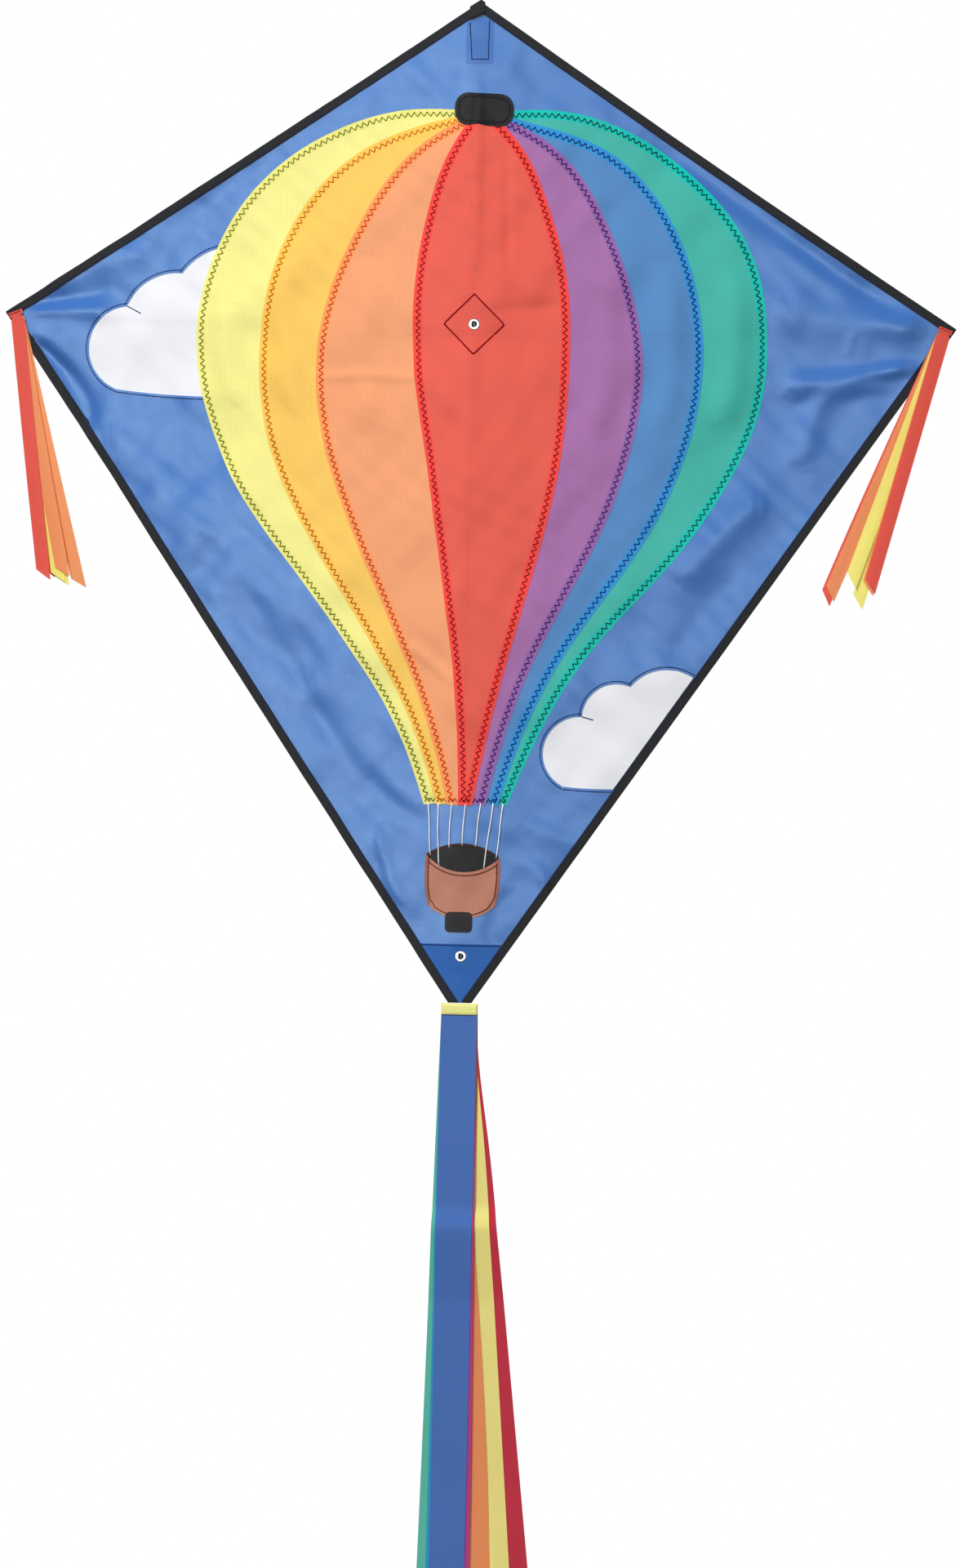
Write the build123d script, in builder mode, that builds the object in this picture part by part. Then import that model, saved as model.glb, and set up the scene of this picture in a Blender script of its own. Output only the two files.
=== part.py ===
"""Diamond kite with a sewn hot-air balloon, two rods across, wingtip tassels and a ribbon tail.

Millimetres. The origin is the middle of the centre eyelet's bore. +Z runs up the spine to the
nose, the front of the sail faces -Y, and both wings lean back towards +Y from the folds beside
the spine. Depth is measured square to the sail, from its middle surface towards the back.
"""
import os
from math import cos, radians, sin, tan

from build123d import *

os.makedirs("parts", exist_ok=True)

# Outline of the sail, seen from the front
HALF_SPAN = 426.6
NOSE_Z = 287.0
WINGTIP_Z = 4.8
TAIL_Z = -603.8
TAIL_HALF_WIDTH = 10.5
LOWER_SLOPE = (WINGTIP_Z - TAIL_Z) / (HALF_SPAN - TAIL_HALF_WIDTH)
TAIL_POINT_Z = TAIL_Z - TAIL_HALF_WIDTH * LOWER_SLOPE
MITRE_Z = -79.0

# Fold of the sail over the spine
DIHEDRAL = 8.0
FOLD_X = 9.0

# Cloth layers
PLY = 0.5
HALF_PLY = PLY / 2
FRONT_LAYER = (-HALF_PLY - PLY, -HALF_PLY)
SAIL_LAYER = (-HALF_PLY, HALF_PLY)
BACK_LAYER = (HALF_PLY, HALF_PLY + PLY)
BINDING_WIDTH = 8.0
CUT_REACH = 80.0

# Rods and the moulded parts on them
ROD_RADIUS = 2.5
ROD_DEPTH = 4.8
ROD_CLEARANCE = 0.05
SPINE_TOP = 277.0
SPINE_BOTTOM = -592.0
SPREADER_START = (1.0, -11.5)
SPREADER_END = (404.0, 3.5)
CAP_RADIUS = 3.1
CAP_LENGTH = 14.0
CAP_WALL = 2.0
CONNECTOR_TOP = -3.5
CONNECTOR_BOTTOM = -19.5
CONNECTOR_RADIUS = 4.2
SOCKET_RADIUS = 3.9
SOCKET_LENGTH = 23.0
CONNECTOR_FRONT = 1.4
RIM_CHAMFER = 0.5

# Cloth pockets that hold the rod ends
TUNNEL_RADIUS = 3.4
TUNNEL_WALL = 0.6
POCKET_END_WALL = 1.5
CAP_PLAY = 0.5

# Eyelets
BORE_RADIUS = 2.8
BARREL_RADIUS = 3.15
FLANGE_RADIUS = 5.25
WASHER_RADIUS = 4.9
LIP_RADIUS = 3.6
EYELET_FRONT = -1.1
EYELET_BACK = 1.35
WASHER_BACK = 1.05
RIM_FLAT = 4.25
RIM_ROUND = 1.2
CLOTH_HOLE_RADIUS = 3.2
LOWER_EYELET_Z = -562.4

# Wingtip tassels
RIBBON_WIDTH = 12.3
RIBBON_PLY = 0.4
RIBBON_PITCH = 0.6
RIBBON_CUT = 11.0
HEM_CENTRE = (411.5, 4.0)
HEM_HEIGHT = 2.8
HEM_TILT = 20.0
HEM_DEPTH = -0.85
HEM_GAP = 0.3
# back to front: colour, then lean towards the other wing in degrees and length, left and right
RIBBONS = (
    ("red_back", (8.2, 240), (23.7, 267)),
    ("orange_back", (14.7, 255), (22.6, 262)),
    ("yellow_back", (11.3, 250), (16.7, 260)),
    ("yellow_front", (10.6, 246), (19.5, 244)),
    ("orange_front", (11.9, 242), (15.5, 246)),
    ("red_front", (7.5, 242), (15.2, 244)),
)

# Tail of eight streamers under a folded band
STREAMER_WIDTH = 32.0
STREAMER_PLY = 0.4
STREAMER_PITCH = 0.6
STREAMER_TOP = -609.8
STREAMER_CORNER = 4.0
STREAMER_CUT = 18.0
BAND_WALL = 0.6
BAND_GAP = 0.6
BAND_CLEARANCE = 0.1
BAND_BOTTOM = -614.2
BAND_CAVITY_TOP = -606.0
# front to back: colour, lean towards +X in degrees, length
STREAMERS = (
    ("royal_blue", 0.0, 752),
    ("purple", 0.1, 738),
    ("sky_blue", -0.1, 745),
    ("green", -1.4, 741),
    ("red", 0.5, 748),
    ("orange", 2.5, 744),
    ("yellow", 4.5, 750),
    ("crimson", 6.4, 746),
)

# Seams of the balloon from left to right, each from under the crown to the hem: (x, z)
BALLOON_SEAMS = (
    ((-11, 190), (-62, 190), (-132, 169), (-198, 121), (-240, 50), (-252, -12), (-242, -80),
     (-210, -152), (-157, -223), (-103, -295), (-59, -367), (-36, -428)),
    ((-10, 187), (-45, 178), (-101, 155), (-156, 103), (-187, 30), (-194, -43), (-182, -115),
     (-148, -187), (-81, -295), (-45, -366), (-25, -428)),
    ((-8, 185.5), (-34, 171), (-69, 142), (-106, 86), (-130, 31), (-142, -42), (-132, -114),
     (-106, -186), (-58, -294), (-31, -366), (-15, -428)),
    ((-6, 184), (-23, 157), (-42, 106), (-54, 33), (-53, -40), (-42, -112), (-25, -221),
     (-10, -329), (-5, -428)),
    ((16, 184), (39, 158), (63, 108), (82, 36), (85, -37), (80, -110), (57, -219),
     (28, -329), (7, -428)),
    ((18, 185.5), (46, 173), (82, 145), (116, 91), (137, 37), (150, -35), (141, -108),
     (117, -181), (62, -292), (35, -365), (19, -428)),
    ((20, 187), (46, 180), (108, 160), (163, 110), (195, 38), (203, -34), (191, -107),
     (160, -181), (87, -291), (51, -364), (30, -428)),
    ((21, 190), (75, 191), (131, 175), (198, 129), (244, 68), (259, 0), (254, -72),
     (224, -143), (172, -217), (108, -291), (65, -364), (38, -428)),
)
PANEL_COLOURS = ("yellow", "gold", "orange", "red", "purple", "blue", "green")

# Clouds: each lobe is an arc through three points, (x, z)
LEFT_CLOUD_LOBES = (
    ((-215, 66), (-246, 59), (-265.6, 41.6)),
    ((-265.6, 41.6), (-293.5, 36), (-315.9, 11.5)),
    ((-315.9, 11.5), (-349.5, -20), (-324, -63)),
    ((-324, -63), (-280, -67), (-215, -68)),
)
RIGHT_CLOUD_LOBES = (
    ((214, -325), (175.8, -303.7), (144.8, -319.6)),
    ((144.8, -319.6), (113, -325), (102.6, -347)),
    ((102.6, -347), (69, -376), (87, -409.6)),
    ((87, -409.6), (120, -411.2), (160, -409)),
)

# Crown, patches, basket and its opening
CROWN_CENTRE = (5.0, 191.0)
CROWN_SIZE = (52.0, 29.0)
CROWN_CORNER = 12.0
CROWN_TILT = -2.0
DIAMOND_REACH = 27.6
BASKET_RIM = ((-33, -472), (0, -487.6), (33, -474))
BASKET_RIGHT = ((33, -474), (33.2, -495), (30, -517))
BASKET_BOTTOM = ((30, -517), (2, -529), (-31, -517))
BASKET_LEFT = ((-31, -517), (-33.8, -495), (-33, -472))
OPENING_ARC = ((-33, -472), (-0.6, -462), (33, -474))
LABEL_CENTRE = (-2.5, -532.0)
LABEL_SIZE = (24.0, 18.0)
LABEL_CORNER = 4.0
REINFORCEMENT_TOP = -551.5

# Rigging threads between the balloon's hem and the basket: x at the top, then x and z below
THREAD_TOP_Z = -426.0
THREADS = (
    (-32.0, -29.0, -473.0),
    (-23.1, -21.6, -482.5),
    (-11.0, -12.5, -466.0),
    (1.3, -0.8, -464.0),
    (14.7, 10.8, -465.0),
    (25.6, 18.7, -485.0),
    (34.5, 29.5, -474.8),
)
THREAD_RADIUS = 0.4
THREAD_DEPTH = -1.2

# Nose and tail cloth
NOSE_POCKET_BOTTOM = 231.0
NOSE_POCKET_TOP = 278.5
TAIL_POCKET_MOUTH = -570.5
TAIL_POCKET_BOTTOM = -594.0
POCKET_HALF_WIDTH = 12.2
WING_POCKET_HALF_WIDTH = 8.0
WING_POCKET_LENGTH = 52.0
NOSE_TAB = ((-9.5, 281.5), (0.5, 288.0), (4.0, 285.4), (4.0, 276.0), (-9.5, 270.5))
NOSE_TAB_BACK_BOTTOM = 281.5

TILT = radians(DIHEDRAL)


def wing_point(side, along, up, depth):
    """Point on a wing's plane: along it from its fold, up, and back from its middle surface."""
    outwards = FOLD_X + along * cos(TILT) - depth * sin(TILT)
    return (side * outwards, along * sin(TILT) + depth * cos(TILT), up)


def sail_point(x, z, depth=0.0):
    """Point at a depth behind the sail's middle surface, square to the sail at (x, z)."""
    if abs(x) <= FOLD_X:
        return (x, depth, z)
    return wing_point(1 if x > 0 else -1, (abs(x) - FOLD_X) / cos(TILT), z, depth)


def wing_normal(side):
    """Direction out of the front of a wing."""
    return (side * sin(TILT), -cos(TILT), 0)


def folded_edge(depth):
    """Cross-section line of the folded sail at one depth, from left to right."""
    reach = HALF_SPAN + CUT_REACH
    corner = FOLD_X - depth * tan(TILT / 2)
    end_y = depth / cos(TILT) + (reach - FOLD_X) * tan(TILT)
    return [(-reach, end_y), (-corner, depth), (corner, depth), (reach, end_y)]


def folded_sheet(front, back):
    """Slab that follows the folded sail between two depths."""
    with BuildPart(mode=Mode.PRIVATE) as slab:
        with BuildSketch(Plane.XY.offset(TAIL_POINT_Z)):
            with BuildLine():
                Polyline(*folded_edge(front), *reversed(folded_edge(back)), close=True)
            make_face()
        extrude(amount=NOSE_Z - TAIL_POINT_Z + CUT_REACH)
    return slab.part


def lay_on_sail(front, back):
    """Turn the sketch being used into cloth that follows the folded sail between two depths."""
    extrude(amount=HALF_SPAN * tan(TILT) + CUT_REACH, both=True)
    add(folded_sheet(front, back), mode=Mode.INTERSECT)


def kite_outline(inset=0.0):
    """Outline of the whole sail, moved in from the edges and cut flat at the tail."""
    with BuildSketch(Plane.XZ, mode=Mode.PRIVATE) as outline:
        with BuildLine():
            Polyline(
                (0, NOSE_Z),
                (HALF_SPAN, WINGTIP_Z),
                (0, TAIL_POINT_Z),
                (-HALF_SPAN, WINGTIP_Z),
                close=True,
            )
        make_face()
        if inset:
            offset(amount=-inset, kind=Kind.INTERSECTION)
        with Locations((0, TAIL_POINT_Z)):
            Rectangle(CUT_REACH, 2 * (TAIL_Z - TAIL_POINT_Z), mode=Mode.SUBTRACT)
    return outline.sketch


def panel_outline(left_seam, right_seam):
    """Outline between two seams of the balloon, closed under the crown and along the hem."""
    with BuildSketch(Plane.XZ, mode=Mode.PRIVATE) as outline:
        with BuildLine():
            Spline(*left_seam)
            Spline(*right_seam)
            Line(left_seam[0], right_seam[0])
            Line(left_seam[-1], right_seam[-1])
        make_face()
    return outline.sketch


def cloud_outline(lobes):
    """Outline of a cloud from its lobes, closed by a straight line."""
    with BuildSketch(Plane.XZ, mode=Mode.PRIVATE) as outline:
        with BuildLine():
            for lobe in lobes:
                ThreePointArc(*lobe)
            Line(lobes[-1][2], lobes[0][0])
        make_face()
    return outline.sketch


def balloon_outline():
    """Outline of the whole balloon, as the panels' outlines together."""
    with BuildSketch(Plane.XZ, mode=Mode.PRIVATE) as outline:
        for left_seam, right_seam in zip(BALLOON_SEAMS, BALLOON_SEAMS[1:]):
            add(panel_outline(left_seam, right_seam))
    return outline.sketch


def bar(start, end, radius, mode=Mode.ADD):
    """Round bar between two points, in the part being built."""
    axis = Vector(*end) - Vector(*start)
    with BuildSketch(Plane(origin=start, z_dir=axis), mode=Mode.PRIVATE) as section:
        Circle(radius)
    extrude(section.sketch, amount=axis.length, mode=mode)


def eyelet_hole(z):
    """Hole through the cloth being built, for an eyelet's barrel."""
    bar((0, -PLY * 4, z), (0, PLY * 4, z), CLOTH_HOLE_RADIUS, mode=Mode.SUBTRACT)


def rod_tunnel(mouth, length, base):
    """Raised cloth tunnel round a rod, from its open mouth to its closed far end.

    mouth is a plane across the rod with its own +Y towards the sail, and base is the distance
    from the rod's middle to the cloth that the tunnel is sewn on.
    """
    outer = TUNNEL_RADIUS + TUNNEL_WALL
    for radius, depth, mode in (
        (outer, length + POCKET_END_WALL, Mode.ADD),
        (TUNNEL_RADIUS, length, Mode.SUBTRACT),
    ):
        with BuildSketch(mouth, mode=Mode.PRIVATE) as section:
            Circle(radius)
            Rectangle(2 * radius, base, align=(Align.CENTER, Align.MIN))
        extrude(section.sketch, amount=depth, mode=mode)


def finish(piece, name):
    """Name a finished piece and write its file."""
    piece.part.label = name
    export_step(piece.part, f"parts/{name}.step")


# Blue field of the sail, open where the balloon and the clouds are let in
with BuildPart() as sail_field:
    with BuildSketch(Plane.XZ):
        add(kite_outline(PLY))
        add(balloon_outline(), mode=Mode.SUBTRACT)
        add(cloud_outline(LEFT_CLOUD_LOBES), mode=Mode.SUBTRACT)
        add(cloud_outline(RIGHT_CLOUD_LOBES), mode=Mode.SUBTRACT)
    lay_on_sail(*SAIL_LAYER)
    eyelet_hole(LOWER_EYELET_Z)
finish(sail_field, "sail_field")

# Balloon panels, edge to edge; the red one carries the centre eyelet
for index, colour in enumerate(PANEL_COLOURS):
    with BuildPart() as panel:
        with BuildSketch(Plane.XZ):
            add(panel_outline(BALLOON_SEAMS[index], BALLOON_SEAMS[index + 1]))
        lay_on_sail(*SAIL_LAYER)
        if colour == "red":
            eyelet_hole(0)
    finish(panel, f"panel_{colour}")

# White clouds: one runs under the balloon's edge, the other to the edge of the sail
with BuildPart() as cloud_left:
    with BuildSketch(Plane.XZ):
        add(cloud_outline(LEFT_CLOUD_LOBES))
        add(balloon_outline(), mode=Mode.SUBTRACT)
    lay_on_sail(*SAIL_LAYER)
finish(cloud_left, "cloud_left")

with BuildPart() as cloud_right:
    with BuildSketch(Plane.XZ):
        add(cloud_outline(RIGHT_CLOUD_LOBES))
        add(kite_outline(PLY), mode=Mode.INTERSECT)
    lay_on_sail(*SAIL_LAYER)
finish(cloud_right, "cloud_right")

# Patches on the front of the sail
with BuildPart() as crown_patch:
    with BuildSketch(Plane.XZ):
        with Locations(Location(CROWN_CENTRE, CROWN_TILT)):
            RectangleRounded(*CROWN_SIZE, CROWN_CORNER)
    lay_on_sail(*FRONT_LAYER)
finish(crown_patch, "crown_patch")

with BuildPart() as basket:
    with BuildSketch(Plane.XZ):
        with BuildLine():
            for arc in (BASKET_RIM, BASKET_RIGHT, BASKET_BOTTOM, BASKET_LEFT):
                ThreePointArc(*arc)
        make_face()
    lay_on_sail(*FRONT_LAYER)
finish(basket, "basket")

with BuildPart() as basket_opening:
    with BuildSketch(Plane.XZ):
        with BuildLine():
            ThreePointArc(*OPENING_ARC)
            ThreePointArc(*BASKET_RIM)
        make_face()
    lay_on_sail(*FRONT_LAYER)
finish(basket_opening, "basket_opening")

with BuildPart() as label_patch:
    with BuildSketch(Plane.XZ):
        with Locations(LABEL_CENTRE):
            RectangleRounded(*LABEL_SIZE, LABEL_CORNER)
    lay_on_sail(FRONT_LAYER[0] - PLY, FRONT_LAYER[1])
    add(basket.part, mode=Mode.SUBTRACT)
finish(label_patch, "label_patch")

# Seven taut threads, each sewn down at both ends
with BuildPart() as rigging_threads:
    for top_x, low_x, low_z in THREADS:
        upper = sail_point(top_x, THREAD_TOP_Z, THREAD_DEPTH)
        lower = sail_point(low_x, low_z, THREAD_DEPTH)
        bar(upper, lower, THREAD_RADIUS)
        bar(sail_point(top_x, THREAD_TOP_Z, SAIL_LAYER[0]), upper, THREAD_RADIUS)
        bar(sail_point(low_x, low_z, FRONT_LAYER[0]), lower, THREAD_RADIUS)
finish(rigging_threads, "rigging_threads")

# Tape folded over each edge of the sail, mitred at the corners
with BuildPart() as sail_core:
    with BuildSketch(Plane.XZ):
        add(kite_outline(PLY))
    lay_on_sail(*SAIL_LAYER)

MITRE_SLOPE = (WINGTIP_Z - MITRE_Z) / HALF_SPAN
bindings = []
for side, side_name in ((-1, "left"), (1, "right")):
    for limit_z, edge_name in ((NOSE_Z, "upper"), (TAIL_POINT_Z, "lower")):
        corner_z = MITRE_Z + 2 * HALF_SPAN * MITRE_SLOPE
        with BuildPart() as binding:
            with BuildSketch(Plane.XZ):
                add(kite_outline())
                add(kite_outline(BINDING_WIDTH), mode=Mode.SUBTRACT)
                with BuildLine():
                    Polyline(
                        (0, MITRE_Z),
                        (side * 2 * HALF_SPAN, corner_z),
                        (side * 2 * HALF_SPAN, 2 * limit_z),
                        (0, 2 * limit_z),
                        close=True,
                    )
                make_face(mode=Mode.INTERSECT)
            lay_on_sail(FRONT_LAYER[0], BACK_LAYER[1])
            add(sail_core.part, mode=Mode.SUBTRACT)
        finish(binding, f"binding_{edge_name}_{side_name}")
        bindings.append(binding.part)

# Tape end wrapped over the nose, short at the back where the pocket is
with BuildPart() as nose_tab:
    with BuildSketch(Plane.XZ):
        with BuildLine():
            Polyline(*NOSE_TAB, close=True)
        make_face()
    lay_on_sail(FRONT_LAYER[0] - PLY, BACK_LAYER[1] + PLY)
    with BuildSketch(Plane.XZ):
        add(kite_outline())
    extrude(amount=BACK_LAYER[1], both=True, mode=Mode.SUBTRACT)
    with BuildSketch(Plane.XZ.offset(-FRONT_LAYER[0])):
        with Locations((0, NOSE_TAB_BACK_BOTTOM)):
            Rectangle(CUT_REACH, CUT_REACH, align=(Align.CENTER, Align.MAX))
    extrude(amount=-CUT_REACH, mode=Mode.SUBTRACT)
finish(nose_tab, "nose_tab")

# Pockets and patches behind the sail
with BuildPart() as centre_patch:
    with BuildSketch(Plane.XZ):
        with BuildLine():
            Polyline(
                (0, DIAMOND_REACH),
                (DIAMOND_REACH, 0),
                (0, -DIAMOND_REACH),
                (-DIAMOND_REACH, 0),
                close=True,
            )
        make_face()
    lay_on_sail(*BACK_LAYER)
    eyelet_hole(0)
finish(centre_patch, "centre_patch")

with BuildPart() as tail_reinforcement:
    with BuildSketch(Plane.XZ):
        add(kite_outline(BINDING_WIDTH))
        with Locations((0, REINFORCEMENT_TOP)):
            Rectangle(
                4 * CUT_REACH,
                4 * CUT_REACH,
                align=(Align.CENTER, Align.MAX),
                mode=Mode.INTERSECT,
            )
    lay_on_sail(*BACK_LAYER)
    eyelet_hole(LOWER_EYELET_Z)
finish(tail_reinforcement, "tail_reinforcement")

with BuildPart() as nose_pocket:
    with BuildSketch(Plane.XZ):
        with Locations((0, NOSE_POCKET_BOTTOM)):
            Rectangle(
                2 * POCKET_HALF_WIDTH,
                NOSE_POCKET_TOP - NOSE_POCKET_BOTTOM,
                align=(Align.CENTER, Align.MIN),
            )
    lay_on_sail(BACK_LAYER[0], BACK_LAYER[1] + PLY)
    mouth = Plane(origin=(0, ROD_DEPTH, NOSE_POCKET_BOTTOM), x_dir=(-1, 0, 0), z_dir=(0, 0, 1))
    tunnel_length = SPINE_TOP + CAP_WALL + CAP_PLAY - NOSE_POCKET_BOTTOM
    rod_tunnel(mouth, tunnel_length, ROD_DEPTH - BACK_LAYER[0])
    for strip in bindings:
        add(strip, mode=Mode.SUBTRACT)
finish(nose_pocket, "nose_pocket")

with BuildPart() as tail_pocket:
    with BuildSketch(Plane.XZ):
        with Locations((0, TAIL_POCKET_MOUTH)):
            Rectangle(
                2 * POCKET_HALF_WIDTH,
                TAIL_POCKET_MOUTH - TAIL_POCKET_BOTTOM,
                align=(Align.CENTER, Align.MAX),
            )
    lay_on_sail(BACK_LAYER[1], BACK_LAYER[1] + PLY)
    mouth = Plane(origin=(0, ROD_DEPTH, TAIL_POCKET_MOUTH), x_dir=(1, 0, 0), z_dir=(0, 0, -1))
    tunnel_length = TAIL_POCKET_MOUTH - SPINE_BOTTOM + CAP_WALL + CAP_PLAY
    rod_tunnel(mouth, tunnel_length, ROD_DEPTH - BACK_LAYER[1])
finish(tail_pocket, "tail_pocket")


def spreader_point(side, along):
    """Point on a spreader rod's middle line."""
    rise = (SPREADER_END[1] - SPREADER_START[1]) / (SPREADER_END[0] - SPREADER_START[0])
    up = SPREADER_START[1] + rise * (along - SPREADER_START[0])
    return wing_point(side, along, up, ROD_DEPTH)


def spreader_plane(side, along):
    """Plane across a spreader rod, facing outwards, with its own +Y towards the sail."""
    origin = Vector(*spreader_point(side, along))
    outwards = Vector(*spreader_point(side, along + 1)) - origin
    across = Vector(*wing_normal(side)).cross(outwards)
    return Plane(origin=origin, x_dir=across, z_dir=outwards)


for side, side_name in ((-1, "left"), (1, "right")):
    pocket_end = SPREADER_END[0] + CAP_WALL + CAP_PLAY
    corners = []
    for along, up in ((-WING_POCKET_LENGTH, -1), (0, -1), (0, 1), (-WING_POCKET_LENGTH, 1)):
        point = spreader_point(side, pocket_end + along)
        corners.append((point[0], point[2] + up * WING_POCKET_HALF_WIDTH))
    with BuildPart() as wing_pocket:
        with BuildSketch(Plane.XZ):
            with BuildLine():
                Polyline(*corners, close=True)
            make_face()
        lay_on_sail(BACK_LAYER[0], BACK_LAYER[1] + PLY)
        mouth = spreader_plane(side, pocket_end - WING_POCKET_LENGTH)
        rod_tunnel(mouth, WING_POCKET_LENGTH, ROD_DEPTH - BACK_LAYER[0])
        for strip in bindings:
            add(strip, mode=Mode.SUBTRACT)
    finish(wing_pocket, f"wingtip_pocket_{side_name}")

    with BuildPart() as spreader:
        inner_end = spreader_point(side, SPREADER_START[0])
        outer_end = spreader_point(side, SPREADER_END[0])
        bar(inner_end, outer_end, ROD_RADIUS)
    finish(spreader, f"spreader_{side_name}")

with BuildPart() as spine:
    bar((0, ROD_DEPTH, SPINE_BOTTOM), (0, ROD_DEPTH, SPINE_TOP), ROD_RADIUS)
finish(spine, "spine")

# Moulded cross: the spine runs through it and a spreader plugs into each side
with BuildPart() as centre_connector:
    bar((0, ROD_DEPTH, CONNECTOR_BOTTOM), (0, ROD_DEPTH, CONNECTOR_TOP), CONNECTOR_RADIUS)
    for side in (-1, 1):
        socket_root = spreader_point(side, SPREADER_START[0] - FOLD_X)
        bar(socket_root, spreader_point(side, SOCKET_LENGTH), SOCKET_RADIUS)
    rims = centre_connector.edges().filter_by(GeomType.CIRCLE)
    chamfer(rims.filter_by(lambda rim: rim.is_closed), RIM_CHAMFER)
    spine_bore = ROD_RADIUS + ROD_CLEARANCE
    bar(
        (0, ROD_DEPTH, CONNECTOR_BOTTOM - 1),
        (0, ROD_DEPTH, CONNECTOR_TOP + 1),
        spine_bore,
        mode=Mode.SUBTRACT,
    )
    for side in (-1, 1):
        bar(
            spreader_point(side, SPREADER_START[0]),
            spreader_point(side, SOCKET_LENGTH + 1),
            spine_bore,
            mode=Mode.SUBTRACT,
        )
    add(folded_sheet(-CUT_REACH / 4, CONNECTOR_FRONT), mode=Mode.SUBTRACT)
finish(centre_connector, "centre_connector")

# Vinyl caps on the four rod ends
rod_ends = [
    ((0, ROD_DEPTH, SPINE_TOP), (0, 0, 1)),
    ((0, ROD_DEPTH, SPINE_BOTTOM), (0, 0, -1)),
]
for side in (-1, 1):
    tip = Vector(*spreader_point(side, SPREADER_END[0]))
    rod_ends.append((tip, tip - Vector(*spreader_point(side, SPREADER_END[0] - 1))))

with BuildPart() as rod_caps:
    for tip, outwards in rod_ends:
        tip = Vector(*tip)
        outwards = Vector(*outwards).normalized()
        outer_end = tip + outwards * CAP_WALL
        inner_end = outer_end - outwards * CAP_LENGTH
        bar(inner_end, outer_end, CAP_RADIUS)
        bar(inner_end, tip, ROD_RADIUS + ROD_CLEARANCE / 2, mode=Mode.SUBTRACT)
finish(rod_caps, "rod_caps")

# Eyelets: a barrel with a rounded front flange, rolled over a washer at the back
for z, name in ((0, "centre_eyelet"), (LOWER_EYELET_Z, "lower_eyelet")):
    with BuildPart() as eyelet:
        with BuildSketch(Plane.XY.offset(z)):
            with BuildLine():
                Polyline(
                    (BORE_RADIUS, EYELET_BACK),
                    (BORE_RADIUS, EYELET_FRONT),
                    (RIM_FLAT, EYELET_FRONT),
                )
                RadiusArc((RIM_FLAT, EYELET_FRONT), (FLANGE_RADIUS, SAIL_LAYER[0]), -RIM_ROUND)
                Polyline(
                    (FLANGE_RADIUS, SAIL_LAYER[0]),
                    (BARREL_RADIUS, SAIL_LAYER[0]),
                    (BARREL_RADIUS, WASHER_BACK),
                    (LIP_RADIUS, WASHER_BACK),
                    (LIP_RADIUS, EYELET_BACK),
                    (BORE_RADIUS, EYELET_BACK),
                )
            make_face()
        revolve(axis=Axis((0, 0, z), (0, 1, 0)))
    finish(eyelet, name)

with BuildPart() as eyelet_washers:
    for z in (0, LOWER_EYELET_Z):
        with BuildSketch(Plane.XZ.offset(-WASHER_BACK)):
            with Locations((0, z)):
                Circle(WASHER_RADIUS)
                Circle(BARREL_RADIUS, mode=Mode.SUBTRACT)
        extrude(amount=WASHER_BACK - BACK_LAYER[1])
finish(eyelet_washers, "eyelet_washers")


def tassel_plane(side, centre, turn, depth):
    """Plane on the front of a wing at a depth, turned in the wing's own surface."""
    level = Vector(cos(TILT), side * sin(TILT), 0)
    x_dir = level * cos(radians(turn)) + Vector(0, 0, 1) * sin(radians(turn))
    return Plane(origin=wing_point(side, *centre, depth), x_dir=x_dir, z_dir=wing_normal(side))


# Tassels: six ribbon ends sewn in a hem at each wingtip, and the ribbons that hang from it
drop = HEM_HEIGHT / 2 + HEM_GAP + RIBBON_WIDTH / 2
pivot = (
    HEM_CENTRE[0] - drop * sin(radians(HEM_TILT)),
    HEM_CENTRE[1] - drop * cos(radians(HEM_TILT)),
)
for side, side_name in ((-1, "left"), (1, "right")):
    with BuildPart() as tassel_hem:
        for layer in range(len(RIBBONS)):
            depth = HEM_DEPTH - layer * RIBBON_PITCH
            with BuildSketch(tassel_plane(side, HEM_CENTRE, -side * HEM_TILT, depth)):
                Rectangle(RIBBON_WIDTH, HEM_HEIGHT)
            extrude(amount=RIBBON_PITCH if layer + 1 < len(RIBBONS) else RIBBON_PLY)
    finish(tassel_hem, f"tassel_hem_{side_name}")

    for layer, (colour, left, right) in enumerate(RIBBONS):
        lean, length = left if side < 0 else right
        long_edge = length - drop
        depth = HEM_DEPTH - layer * RIBBON_PITCH
        with BuildPart() as ribbon:
            with BuildSketch(tassel_plane(side, pivot, -side * lean, depth)):
                with BuildLine():
                    half = RIBBON_WIDTH / 2
                    ThreePointArc((-half, 0), (0, half), (half, 0))
                    Polyline(
                        (half, 0),
                        (half, -long_edge),
                        (-half, RIBBON_CUT - long_edge),
                        (-half, 0),
                    )
                make_face()
            extrude(amount=RIBBON_PLY)
        finish(ribbon, f"tassel_{side_name}_{colour}")

# Tail: a folded band, rounded where it turns under the sail, with the streamers inside it
stack_depth = (len(STREAMERS) - 1) * STREAMER_PITCH + STREAMER_PLY
cavity_half = stack_depth / 2 + BAND_CLEARANCE
band_half = cavity_half + BAND_WALL
TAIL_AXIS_Z = TAIL_Z - BAND_GAP - band_half

with BuildPart() as tail_band:
    with BuildSketch(Plane.YZ):
        with Locations((0, TAIL_AXIS_Z)):
            Circle(band_half)
            Rectangle(2 * band_half, TAIL_AXIS_Z - BAND_BOTTOM, align=(Align.CENTER, Align.MAX))
        with Locations((0, BAND_CAVITY_TOP)):
            Rectangle(
                2 * cavity_half,
                2 * (BAND_CAVITY_TOP - BAND_BOTTOM),
                align=(Align.CENTER, Align.MAX),
                mode=Mode.SUBTRACT,
            )
    extrude(amount=STREAMER_WIDTH / 2, both=True)
finish(tail_band, "tail_band")

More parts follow.
